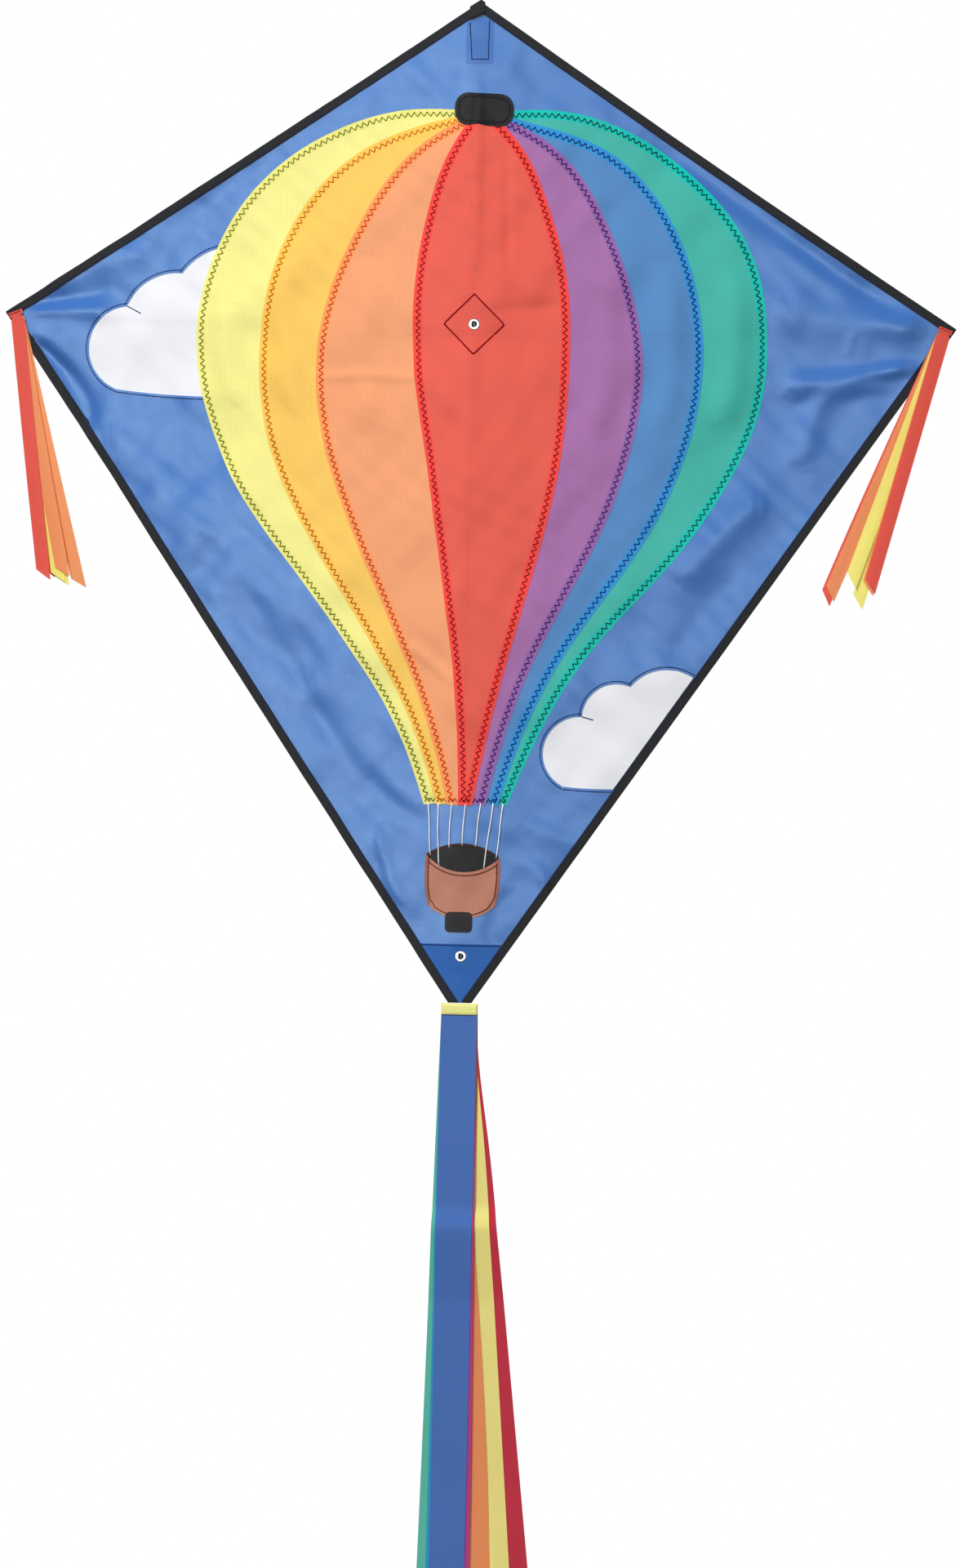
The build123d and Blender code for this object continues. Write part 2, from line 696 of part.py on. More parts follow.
for layer, (colour, lean, length) in enumerate(STREAMERS):
    front = layer * STREAMER_PITCH - stack_depth / 2
    turn = radians(lean)
    hang = Plane(
        origin=(0, front + STREAMER_PLY, STREAMER_TOP),
        x_dir=(cos(turn), 0, sin(turn)),
        z_dir=(0, -1, 0),
    )
    with BuildPart() as streamer:
        with BuildSketch(hang):
            with BuildLine():
                half = STREAMER_WIDTH / 2
                Polyline(
                    (half - STREAMER_CORNER, 0),
                    (half, -STREAMER_CORNER),
                    (half, -length),
                    (-half, STREAMER_CUT - length),
                    (-half, -STREAMER_CORNER),
                    (STREAMER_CORNER - half, 0),
                    close=True,
                )
            make_face()
        extrude(amount=STREAMER_PLY)
    finish(streamer, f"streamer_{colour}")
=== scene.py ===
"""Looks of the diamond kite: sewn nylon, tapes, ribbons and threads round its CAD frame.

Flat patterns are in millimetres, x to the right and z up on the sail seen from the front, and
become metres where they are laid on the folded sail. Depth is measured square to the sail,
from its middle surface towards the back, so a layer in front has a negative depth.
"""
from math import cos, exp, hypot, pi, radians, sin, sqrt, tan, tau

import bpy
import numpy as np
from mathutils import Matrix, Vector, kdtree
from mathutils.geometry import delaunay_2d_cdt


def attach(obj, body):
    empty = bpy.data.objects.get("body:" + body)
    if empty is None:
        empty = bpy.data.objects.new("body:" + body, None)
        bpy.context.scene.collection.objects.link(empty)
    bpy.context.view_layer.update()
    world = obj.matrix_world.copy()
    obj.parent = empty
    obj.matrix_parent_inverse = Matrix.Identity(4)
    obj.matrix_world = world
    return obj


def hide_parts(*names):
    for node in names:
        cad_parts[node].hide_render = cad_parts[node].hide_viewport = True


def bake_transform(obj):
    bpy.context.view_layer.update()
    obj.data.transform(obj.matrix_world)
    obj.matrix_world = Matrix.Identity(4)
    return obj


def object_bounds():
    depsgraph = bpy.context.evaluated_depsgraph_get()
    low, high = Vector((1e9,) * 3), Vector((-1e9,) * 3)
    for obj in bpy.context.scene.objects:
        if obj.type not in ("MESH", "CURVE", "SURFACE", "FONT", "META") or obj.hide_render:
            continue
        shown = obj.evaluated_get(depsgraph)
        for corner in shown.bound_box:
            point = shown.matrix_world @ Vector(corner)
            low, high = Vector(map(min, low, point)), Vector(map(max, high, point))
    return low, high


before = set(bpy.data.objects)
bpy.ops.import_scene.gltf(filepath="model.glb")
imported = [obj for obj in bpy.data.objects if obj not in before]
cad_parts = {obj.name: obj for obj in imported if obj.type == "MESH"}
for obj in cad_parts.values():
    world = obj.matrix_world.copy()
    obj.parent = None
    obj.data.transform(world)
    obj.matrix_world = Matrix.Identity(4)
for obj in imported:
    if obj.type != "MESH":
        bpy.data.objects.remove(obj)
cad_low, cad_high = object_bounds()

MM = 0.001
SIDES = ((-1, "left"), (1, "right"))

# ---- dimensions, as in the CAD part
HALF_SPAN = 426.6
NOSE_Z = 287.0
WINGTIP_Z = 4.8
TAIL_Z = -603.8
TAIL_HALF_WIDTH = 10.5
UPPER_SLOPE = (NOSE_Z - WINGTIP_Z) / HALF_SPAN
LOWER_SLOPE = (WINGTIP_Z - TAIL_Z) / (HALF_SPAN - TAIL_HALF_WIDTH)
BINDING_WIDTH = 8.0
DIHEDRAL = radians(8.0)
FOLD_X = 9.0
FOLD_ROUND = 6.0
LOWER_EYELET_Z = -562.4
CLOTH_HOLE_RADIUS = 3.0
REINFORCEMENT_TOP = -551.5
ROD_DEPTH = 4.8

BALLOON_SEAMS = (
    ((-11, 190), (-62, 190), (-132, 169), (-198, 121), (-240, 50), (-252, -12), (-242, -80),
     (-210, -152), (-157, -223), (-103, -295), (-59, -367), (-36, -428)),
    ((-10, 187), (-45, 178), (-101, 155), (-156, 103), (-187, 30), (-194, -43), (-182, -115),
     (-148, -187), (-81, -295), (-45, -366), (-25, -428)),
    ((-8, 185.5), (-34, 171), (-69, 142), (-106, 86), (-130, 31), (-142, -42), (-132, -114),
     (-106, -186), (-58, -294), (-31, -366), (-15, -428)),
    ((-6, 184), (-23, 157), (-42, 106), (-54, 33), (-53, -40), (-42, -112), (-25, -221),
     (-10, -329), (-5, -428)),
    ((16, 184), (39, 158), (63, 108), (82, 36), (85, -37), (80, -110), (57, -219),
     (28, -329), (7, -428)),
    ((18, 185.5), (46, 173), (82, 145), (116, 91), (137, 37), (150, -35), (141, -108),
     (117, -181), (62, -292), (35, -365), (19, -428)),
    ((20, 187), (46, 180), (108, 160), (163, 110), (195, 38), (203, -34), (191, -107),
     (160, -181), (87, -291), (51, -364), (30, -428)),
    ((21, 190), (75, 191), (131, 175), (198, 129), (244, 68), (259, 0), (254, -72),
     (224, -143), (172, -217), (108, -291), (65, -364), (38, -428)),
)
HEM_Z = -428.0
# chains of arcs: an end, a point on the way, an end, and so on
LEFT_CLOUD = (
    (-215, 66), (-246, 59), (-265.6, 41.6), (-293.5, 36), (-315.9, 11.5), (-349.5, -20),
    (-324, -63), (-280, -67), (-215, -68),
)
RIGHT_CLOUD = (
    (214, -325), (175.8, -303.7), (144.8, -319.6), (113, -325), (102.6, -347), (69, -376),
    (87, -409.6), (120, -411.2), (160, -409),
)
BASKET = (
    (-33, -472), (0, -487.6), (33, -474), (33.2, -495), (30, -517), (2, -529), (-31, -517),
    (-33.8, -495), (-33, -472),
)
BASKET_OPENING = ((-33, -472), (-0.6, -462), (33, -474))
CROWN_CENTRE = (5.0, 191.0)
CROWN_SIZE = (52.0, 29.0)
CROWN_CORNER = 12.0
CROWN_TILT = -2.0
DIAMOND_REACH = 27.6
LABEL_CENTRE = (-2.5, -532.0)
LABEL_SIZE = (24.0, 18.0)
LABEL_CORNER = 4.0
THREAD_TOP_Z = -426.0
THREADS = (
    (-32.0, -29.0, -473.0),
    (-23.1, -21.6, -482.5),
    (-11.0, -12.5, -466.0),
    (1.3, -0.8, -464.0),
    (14.7, 10.8, -465.0),
    (25.6, 18.7, -485.0),
    (34.5, 29.5, -474.8),
)
RIBBON_WIDTH = 12.3
RIBBON_PITCH = 0.6
RIBBON_PLY = 0.4
RIBBON_CUT = 11.0
HEM_CENTRE = (411.5, 4.0)
HEM_HEIGHT = 2.8
HEM_TILT = 20.0
HEM_DEPTH = -0.85
HEM_GAP = 0.3
# back to front: colour, then lean towards the other wing in degrees and length, left and right
RIBBONS = (
    ("red_back", (8.2, 240), (23.7, 267)),
    ("orange_back", (14.7, 255), (22.6, 262)),
    ("yellow_back", (11.3, 250), (16.7, 260)),
    ("yellow_front", (10.6, 246), (19.5, 244)),
    ("orange_front", (11.9, 242), (15.5, 246)),
    ("red_front", (7.5, 242), (15.2, 244)),
)
STREAMER_WIDTH = 32.0
STREAMER_PLY = 0.4
STREAMER_PITCH = 0.6
STREAMER_TOP = -609.8
STREAMER_CORNER = 4.0
STREAMER_CUT = 18.0
# front to back: colour, lean towards +X in degrees, length
STREAMERS = (
    ("royal_blue", 0.0, 752),
    ("purple", 0.1, 738),
    ("sky_blue", -0.1, 745),
    ("green", -1.4, 741),
    ("red", 0.5, 748),
    ("orange", 2.5, 744),
    ("yellow", 4.5, 750),
    ("crimson", 6.4, 746),
)
BAND_BOTTOM_Z = -614.2
BAND_AXIS_Z = -607.4

# ---- sewing
SEAM_ALLOWANCE = 8.0
CLAMP_REACH = 15.0
ZIGZAG_INSET = 4.6
# pitch and width of each zigzag row
SEAM_ZIGZAG = (5.8, 4.2)
HEM_ZIGZAG = (3.4, 3.6)
CROWN_ZIGZAG = (3.2, 2.4)
STRAIGHT_PITCH = 2.6
BASKET_PITCH = 2.2
THREAD_RADIUS = 0.43
CLOTH_SPACING = 3.6
PATCH_SPACING = 2.4
CLOUD_MARGIN = 7.0
LINING_HALF_WIDTH = 12.2
LINING_BOTTOM = 231.0
TAPE_THICKNESS = 0.4
# depths of the layers
TAPE_DEPTH = 0.55
CROWN_DEPTH = -1.6
LABEL_DEPTH = -1.0
BASKET_DEPTH = -0.6
OPENING_DEPTH = -0.35
CLOUD_DEPTH = 0.4
PATCH_DEPTH = 0.4
POCKET_DEPTH = 1.0
# panels from left to right, with the depth of each
PANELS = (
    ("yellow", -0.3),
    ("gold", -0.6),
    ("orange", -0.9),
    ("red", -1.2),
    ("purple", -0.9),
    ("blue", -0.6),
    ("green", -0.3),
)


# ---- flat patterns
def arc(start, through, end, count=28):
    """Points along the circle arc that runs from start through a middle point to end."""
    start, through, end = (complex(*point) for point in (start, through, end))
    ratio = (end - start) / (through - start)
    middle = start + (through - start) * (ratio - abs(ratio) ** 2) / (2j * ratio.imag)
    last = np.angle((end - middle) / (start - middle)) % tau
    if np.angle((through - middle) / (start - middle)) % tau > last:
        last -= tau
    points = middle + (start - middle) * np.exp(1j * np.linspace(0, last, count))
    return np.stack([points.real, points.imag], 1)


def arcs_of(chain):
    """Arcs along a chain of points: an end, a point on the way, an end, and so on."""
    return [chain[first:first + 3] for first in range(0, len(chain) - 2, 2)]


def joined(chain):
    """Line along a chain of arcs."""
    return np.vstack([arc(*part)[:-1] for part in arcs_of(chain)] + [[chain[-1]]])


def travel(line):
    """Distance along a line from its start to each of its points."""
    return np.concatenate([[0], np.cumsum(np.linalg.norm(np.diff(line, axis=0), axis=1))])


def sampled(line, stops):
    """Points of a line at distances along it."""
    return np.stack([np.interp(stops, travel(line), column) for column in line.T], 1)


def respaced(line, spacing):
    """The same line with points an even distance apart."""
    line = np.asarray(line, float)
    length = travel(line)[-1]
    return sampled(line, np.linspace(0, length, max(2, int(round(length / spacing)) + 1)))


def smooth_line(points, spacing=3.0):
    """Evenly spaced points of the smooth curve through the given points."""
    points = np.asarray(points, float)
    knots = travel(points)
    gaps = np.diff(knots)
    count = len(points)
    system = np.eye(count)
    wanted = np.zeros((count, points.shape[1]))
    for i in range(1, count - 1):
        system[i, i - 1:i + 2] = gaps[i - 1], 2 * (gaps[i - 1] + gaps[i]), gaps[i]
        rise_after = (points[i + 1] - points[i]) / gaps[i]
        rise_before = (points[i] - points[i - 1]) / gaps[i - 1]
        wanted[i] = 6 * (rise_after - rise_before)
    bend = np.linalg.solve(system, wanted)
    stops = np.linspace(0, knots[-1], 40 * count)
    part = np.clip(np.searchsorted(knots, stops, "right") - 1, 0, count - 2)
    gap = gaps[part][:, None]
    before = (stops - knots[part])[:, None]
    after = gap - before
    curve = (
        (bend[part] * after ** 3 + bend[part + 1] * before ** 3) / (6 * gap)
        + (points[part] / gap - bend[part] * gap / 6) * after
        + (points[part + 1] / gap - bend[part + 1] * gap / 6) * before
    )
    return respaced(curve, spacing)


def directions(line):
    """Unit direction of a line at each of its points."""
    along = np.gradient(line, axis=0)
    return along / np.linalg.norm(along, axis=1)[:, None]


def shifted(line, distance):
    """A line moved sideways: to +x when it runs downwards and the distance is positive."""
    line = np.asarray(line, float)
    along = directions(line)
    return line + np.stack([-along[:, 1], along[:, 0]], 1) * np.reshape(distance, (-1, 1))


def closed(outline):
    """An outline with its first point repeated at its end."""
    return np.vstack([outline, outline[:1]])


def rounded_rectangle(centre, size, corner, tilt=0.0):
    """Closed outline of a rectangle with round corners, tilted in degrees."""
    half_x, half_z = size[0] / 2 - corner, size[1] / 2 - corner
    points = []
    for quarter, (side_x, side_z) in enumerate(((1, 1), (-1, 1), (-1, -1), (1, -1))):
        turn = np.linspace(quarter, quarter + 1, 8) * pi / 2
        points.append(np.stack([
            side_x * half_x + corner * np.cos(turn),
            side_z * half_z + corner * np.sin(turn),
        ], 1))
    tilt = radians(tilt)
    turned = np.vstack(points) @ np.array([[cos(tilt), sin(tilt)], [-sin(tilt), cos(tilt)]])
    return turned + np.array(centre)


def eyelet_hole(z):
    """Outline of the hole for an eyelet at a height."""
    radius = CLOTH_HOLE_RADIUS
    return arc((radius, z), (-radius, z + 0.01), (radius, z - 0.01), 24)[:-1]


def inside(points, outline):
    """Which points lie inside a closed outline."""
    found = np.zeros(len(points), bool)
    x, z = points[:, 0], points[:, 1]
    for (x1, z1), (x2, z2) in zip(outline, np.roll(outline, -1, axis=0)):
        if z1 == z2:
            continue
        crosses = (z1 > z) != (z2 > z)
        found ^= crosses & (x < x1 + (z - z1) * (x2 - x1) / (z2 - z1))
    return found


def corners(pattern):
    """Corner points of every triangle of a pattern: triangle, corner, x and z."""
    flat, faces = pattern
    return flat[faces]


def flat_mesh(outline, holes=(), lines=(), spacing=CLOTH_SPACING):
    """Triangles that fill an outline round its holes, with edges along extra lines too."""
    points, edges, fences = [], [], []
    for loop in (outline, *holes):
        if len(loop) < 12:
            loop = respaced(closed(loop), spacing)[:-1]
        first, count = len(points), len(loop)
        points.extend(map(tuple, loop))
        edges.extend((first + i, first + (i + 1) % count) for i in range(count))
        fences.append(np.asarray(loop))
    for line in lines:
        first = len(points)
        points.extend(map(tuple, line))
        edges.extend((first + i, first + i + 1) for i in range(len(line) - 1))

    def filled(places):
        """Which places lie on the cloth."""
        kept = inside(places, fences[0])
        for hole in fences[1:]:
            kept &= ~inside(places, hole)
        return kept

    tree = kdtree.KDTree(len(points))
    for i, (x, z) in enumerate(points):
        tree.insert((x, z, 0), i)
    tree.balance()
    low, high = fences[0].min(0), fences[0].max(0)
    grid = []
    for row, z in enumerate(np.arange(low[1], high[1], spacing * sqrt(3) / 2)):
        x = np.arange(low[0] + (row % 2) * spacing / 2, high[0], spacing)
        grid.append(np.stack([x, np.full(len(x), z)], 1))
    grid = np.vstack(grid)
    for x, z in grid[filled(grid)]:
        if tree.find((x, z, 0))[2] > 0.62 * spacing:
            points.append((x, z))
    made = delaunay_2d_cdt([Vector(p) for p in points], edges, [], 0, 1e-4, False)
    flat = np.array([tuple(p) for p in made[0]])
    faces = np.array([f for f in made[2] if len(f) == 3])
    a, b, c = corners((flat, faces)).swapaxes(0, 1)
    turn = np.cross(b - a, c - a)
    kept = filled((a + b + c) / 3) & (np.abs(turn) > 1e-6)
    faces = np.where((turn > 0)[:, None], faces, faces[:, ::-1])[kept]
    used, renumbered = np.unique(faces, return_inverse=True)
    return flat[used], renumbered.reshape(-1, 3)


# ---- the sail's surface
# Creases and soft folds: x and z of the points along it, its height, and its half width at its
# start and at its end
FOLDS = (
    # left wingtip, fanning out from the pocket
    (-410, 10, -380, 16, -330, 24, -0.8, 4, 10),
    (-408, 5, -378, 7, -330, 6, 0.9, 4, 9),
    (-404, -19, -383, -36, -361, -64, -346, -104, -1.8, 5, 11),
    (-392, 24, -350, 46, -300, 62, 0.9, 7, 16),
    # right wingtip
    (378, 16, 250, 100, 130, 179, -1.4, 8, 12),
    (402, 3, 345, 9, 262, 15, 1.3, 8, 24),
    (394, -28, 345, -38, 270, -52, 1.6, 5, 12),
    (368, -48, 314, -57, 292, -126, 1.1, 6, 14),
    (336, 2, 332, -12, 329, -26, 0.3, 3, 4),
    # field beside and below the balloon
    (262, -148, 213, -194, 187, -230, 1.4, 12, 15),
    (240, -215, 205, -262, 176, -300, -0.8, 12, 14),
    (-330, -90, -262, -170, -200, -260, 1.2, 20, 26),
    (-250, -190, -190, -270, -140, -330, -1.0, 16, 20),
    (-150, -330, -105, -395, -70, -450, -0.8, 12, 16),
    (-90, -395, -60, -430, -20, -442, -0.5, 10, 12),
    (-76, -452, -66, -490, -52, -520, 0.7, 5, 7),
    (62, -548, 90, -520, 122, -492, 0.8, 5, 8),
    (48, -440, 80, -455, 118, -462, 0.8, 9, 12),
    (40, -560, 28, -545, 46, -500, -0.6, 7, 8),
    (55, -470, 72, -500, 60, -530, 0.6, 8, 8),
    (-300, 90, -220, 140, -130, 205, 0.9, 10, 16),
    (120, 215, 200, 150, 270, 105, -0.8, 10, 14),
    # balloon
    (-140, -50, -94, -47, -48, -49, 0.5, 4, 4),
    (-54, -284, -30, -303, -8, -322, 0.7, 5, 5),
    (26.5, 165, 27.6, 105, 29, 45, -0.4, 4, 4),
    (0, 225, 0, 150, 0, 40, 0.7, 5, 5),
    (-0.5, 20, 0, -40, 0.5, -120, 0.35, 6, 6),
    (-226, 20, -224, -30, -215, -80, 1.2, 13, 13),
    (-168, 60, -172, -10, -160, -90, 1.0, 14, 14),
    (-98, 60, -100, -10, -92, -100, 1.0, 16, 16),
    (110, 60, 118, -10, 108, -100, 1.0, 14, 14),
    (168, 60, 176, -10, 164, -100, 1.0, 13, 13),
    (226, 60, 232, -10, 220, -90, 1.1, 13, 13),
    (8, 12, 46, 14, 82, 20, -0.4, 6, 8),
    (-46, -8, 0, -12, 30, -6, -0.3, 5, 5),
)
# Places where the sail is held flat: x, z and how far the hold reaches
HELD = ((0, 0, 9), (0, LOWER_EYELET_Z, 9), (-412, 4, 12), (412, 4, 12), (0, 262, 18), (0, -590, 14))

# Wide swells: height, and the middle and reach of each across a wing and up the sail.
# The last one hangs back behind the swing of the ribbons.
SWELLS = ((1.6, 0.33, 0.2, -190, 150), (1.0, 0.25, 0.16, 110, 60), (-5.5, 0.7, 0.22, -100, 85))
FOLD_STRENGTH = 3.0
RIPPLE = 0.006
RIPPLE_LENGTHS = (90, 70, 52, 44, 33, 27, 21)


def relief(flat):
    """How far the cloth stands in front of the flat sail, in millimetres."""
    flat = np.asarray(flat, float)
    height = np.zeros(len(flat))
    for *places, rise, start_width, end_width in FOLDS:
        line = smooth_line(np.reshape(places, (-1, 2)), 4.0)
        squared = ((flat[:, None, :] - line[None, :, :]) ** 2).sum(2)
        along = squared.argmin(1) / (len(line) - 1)
        width = start_width + (end_width - start_width) * along
        envelope = np.clip(6 * along * (1 - along) + 0.2, 0, 1)
        height += FOLD_STRENGTH * rise * envelope * np.exp(-squared.min(1) / width ** 2)
    x, z = flat[:, 0], flat[:, 1]
    for rise, middle, reach, level, spread in SWELLS:
        across = (np.abs(x) / HALF_SPAN - middle) / reach
        height += rise * np.exp(-across ** 2 - ((z - level) / spread) ** 2)
    # faint ripples left from folding and handling
    chance = np.random.default_rng(7)
    for wavelength in RIPPLE_LENGTHS:
        heading, offset = chance.uniform(0, pi), chance.uniform(0, tau)
        travelled = x * cos(heading) + z * sin(heading)
        bend = 14 * np.sin(x / 61 + offset) + 11 * np.sin(z / 47 - offset)
        height += RIPPLE * wavelength * np.sin((travelled + bend) * tau / wavelength + offset)
    loose = np.ones(len(flat))
    for held_x, held_z, reach in HELD:
        loose *= 1 - np.exp(-((x - held_x) ** 2 + (z - held_z) ** 2) / reach ** 2)
    # behind the sail the cloth has room, except over the rods
    spreader_z = -11.5 + 0.0368 * (np.abs(x) - 10)
    room = (1 - np.exp(-((z - spreader_z) / 16) ** 2)) * (1 - np.exp(-(x / 16) ** 2))
    return np.maximum(height * loose, -1.8 - 6 * room)


def on_sail(flat, depth=0.0, follow=True):
    """Points in metres on the folded sail, at a depth behind its middle surface."""
    flat = np.asarray(flat, float)
    x, z = flat[:, 0], flat[:, 1]
    past_fold = np.abs(x) - FOLD_X
    root = np.sqrt(past_fold ** 2 + FOLD_ROUND ** 2)
    y = 0.5 * (past_fold + root) * tan(DIHEDRAL)
    slope = np.arctan(0.5 * (1 + past_fold / root) * tan(DIHEDRAL))
    # the layers close up where the centre eyelet clamps them
    eyelet_gap = np.exp(-(x ** 2 + z ** 2) / CLAMP_REACH ** 2)
    depth = np.where(np.less(depth, 0), depth * (1 - 0.82 * eyelet_gap), depth)
    move = depth - (relief(flat) if follow else 0.0)
    placed = np.stack([x - np.sign(x) * np.sin(slope) * move, y + np.cos(slope) * move, z], 1)
    return placed * MM


def edge_line(side, limit, inset, count):
    """Points of a taped edge from the nose or the tail to a wingtip, moved in by inset."""
    lower_rise = inset * hypot(1, LOWER_SLOPE)
    tail_point = TAIL_Z - TAIL_HALF_WIDTH * LOWER_SLOPE
    nose = NOSE_Z - inset * hypot(1, UPPER_SLOPE)
    tip_x = (nose - tail_point - lower_rise) / (UPPER_SLOPE + LOWER_SLOPE)
    tip = np.array([tip_x, nose - UPPER_SLOPE * tip_x])
    if limit == "upper":
        start, inwards, sag = np.array([0.0, nose]), (-UPPER_SLOPE, -1.0), 1.7
    else:
        start = np.array([TAIL_HALF_WIDTH - lower_rise / LOWER_SLOPE, TAIL_Z])
        inwards, sag = (-LOWER_SLOPE, 1.0), 0.3
    t = np.linspace(0, 1, count)[:, None]
    line = start + (tip - start) * t + inwards / np.linalg.norm(inwards) * sag * 4 * t * (1 - t)
    return line * np.array([side, 1.0])


def kite_loop(inset):
    """Closed outline of the sail, moved in by inset, from the nose round by the left wing."""
    return np.vstack([
        edge_line(-1, "upper", inset, 150)[:-1],
        edge_line(-1, "lower", inset, 200)[::-1],
        edge_line(1, "lower", inset, 200),
        edge_line(1, "upper", inset, 150)[::-1][1:-1],
    ])


# ---- making objects
def linked(name, data):
    """New object in the scene with the given data."""
    made = bpy.data.objects.new(name, data)
    bpy.context.collection.objects.link(made)
    return made


def new_object(name, points, faces, body="root", materials=(), uvs=None, face_materials=None):
    """Mesh object from points in metres that rides on a body."""
    mesh = bpy.data.meshes.new(name)
    mesh.from_pydata([tuple(p) for p in points], [], [tuple(int(i) for i in f) for f in faces])
    for material in materials:
        mesh.materials.append(material)
    if uvs is not None:
        corner = np.empty(len(mesh.loops), np.int32)
        mesh.loops.foreach_get("vertex_index", corner)
        layer = mesh.uv_layers.new(name="cloth")
        layer.data.foreach_set("uv", np.asarray(uvs, np.float32)[corner].ravel())
    if face_materials is not None:
        mesh.polygons.foreach_set("material_index", np.asarray(face_materials, np.int32))
    mesh.polygons.foreach_set("use_smooth", np.ones(len(mesh.polygons), bool))
    mesh.update()
    made = linked(name, mesh)
    if body:
        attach(made, body)
    return made


def grid_faces(rows, columns, closed_round=False):
    """Quads of a grid, wrapped round if closed."""
    faces = []
    for row in range(rows - 1):
        for column in range(columns if closed_round else columns - 1):
            a, b = row * columns + column, row * columns + (column + 1) % columns
            faces.append((a, a + columns, b + columns, b))
    return faces


def grid_object(name, points, across, along, body, materials, thickness=0.0):
    """Cloth strip from a grid of points in metres, with its size as texture coordinates."""
    uvs = np.stack(np.broadcast_arrays(across, np.reshape(along, (-1, 1))), 2).reshape(-1, 2)
    faces = grid_faces(*points.shape[:2])
    made = new_object(name, points.reshape(-1, 3), faces, body, materials, uvs * MM)
    if thickness:
        solid = made.modifiers.new("thickness", "SOLIDIFY")
        solid.thickness = thickness * MM
        solid.offset = 0
    return made


def tubes(lines, radius, sides=6):
    """Points and faces of round threads along lines in metres, with closed ends."""
    points, faces = [], []
    turn = np.arange(sides) * tau / sides
    for line in lines:
        line = np.asarray(line)
        along = directions(line)
        across = np.cross(along, (0.05, 1.0, 0.02))
        across /= np.linalg.norm(across, axis=1)[:, None]
        outwards = np.cross(along, across)
        ring = line[:, None] + radius * (
            np.cos(turn)[None, :, None] * across[:, None]
            + np.sin(turn)[None, :, None] * outwards[:, None]
        )
        first = sum(len(p) for p in points)
        end = first + (len(line) - 1) * sides
        points.append(ring.reshape(-1, 3))
        faces.extend(tuple(first + i for i in f) for f in grid_faces(len(line), sides, True))
        faces.append(tuple(first + i for i in range(sides)))
        faces.append(tuple(end + i for i in reversed(range(sides))))
    return np.vstack(points), faces


def sewn(line, pitch, width, front, back):
    """Front and back threads of a row of stitches along a flat line, as lines in metres."""
    line = respaced(line, 0.5)
    length = travel(line)[-1]
    count = max(2, int(length / (pitch / 2 if width else pitch)))
    needles = sampled(line, np.linspace(0, length, count + 1))
    if width and count > 2:
        needles = shifted(needles, np.where(np.arange(count + 1) % 2, 0.5, -0.5) * width)
    # each stitch comes up at one needle hole and goes down at the next
    share = np.array([0.0, 0.14, 0.5, 0.86])
    lift = np.array([-0.3, 0.18, 0.27, 0.18])
    path = needles[:-1, None] + (needles[1:] - needles[:-1])[:, None] * share[None, :, None]
    path = np.vstack([path.reshape(-1, 2), needles[-1:]])
    lifts = np.append(np.tile(lift, count), lift[0])
    return [on_sail(path, front - lifts), on_sail(path, back + lifts)]


def sewing(name, lines, radius, material, body="root", sides=6):
    """Object made of round threads along lines in metres, with one material."""
    made = new_object(name, *tubes(lines, radius * MM, sides), body, [material])
    return made


def stitching(name, rows, material, radius=THREAD_RADIUS, faces_shown=(0, 1)):
    """One object with the thread of several rows: (line, pitch, zigzag width, front, back)."""
    lines = [line for row in rows for line in np.take(sewn(*row), faces_shown, 0)]
    return sewing(f"{name}_stitching", lines, radius, material, sides=5)


# ---- materials
def tone(red, green, blue):
    """Linear colour from sRGB bytes."""
    def linear(value):
        value /= 255
        return value / 12.92 if value <= 0.04045 else ((value + 0.055) / 1.055) ** 2.4
    return tuple(linear(v) for v in (red, green, blue)) + (1.0,)


def scaled(colour, factor):
    """A colour made lighter or darker."""
    return tuple(min(1.0, c * factor) for c in colour[:3]) + (1.0,)


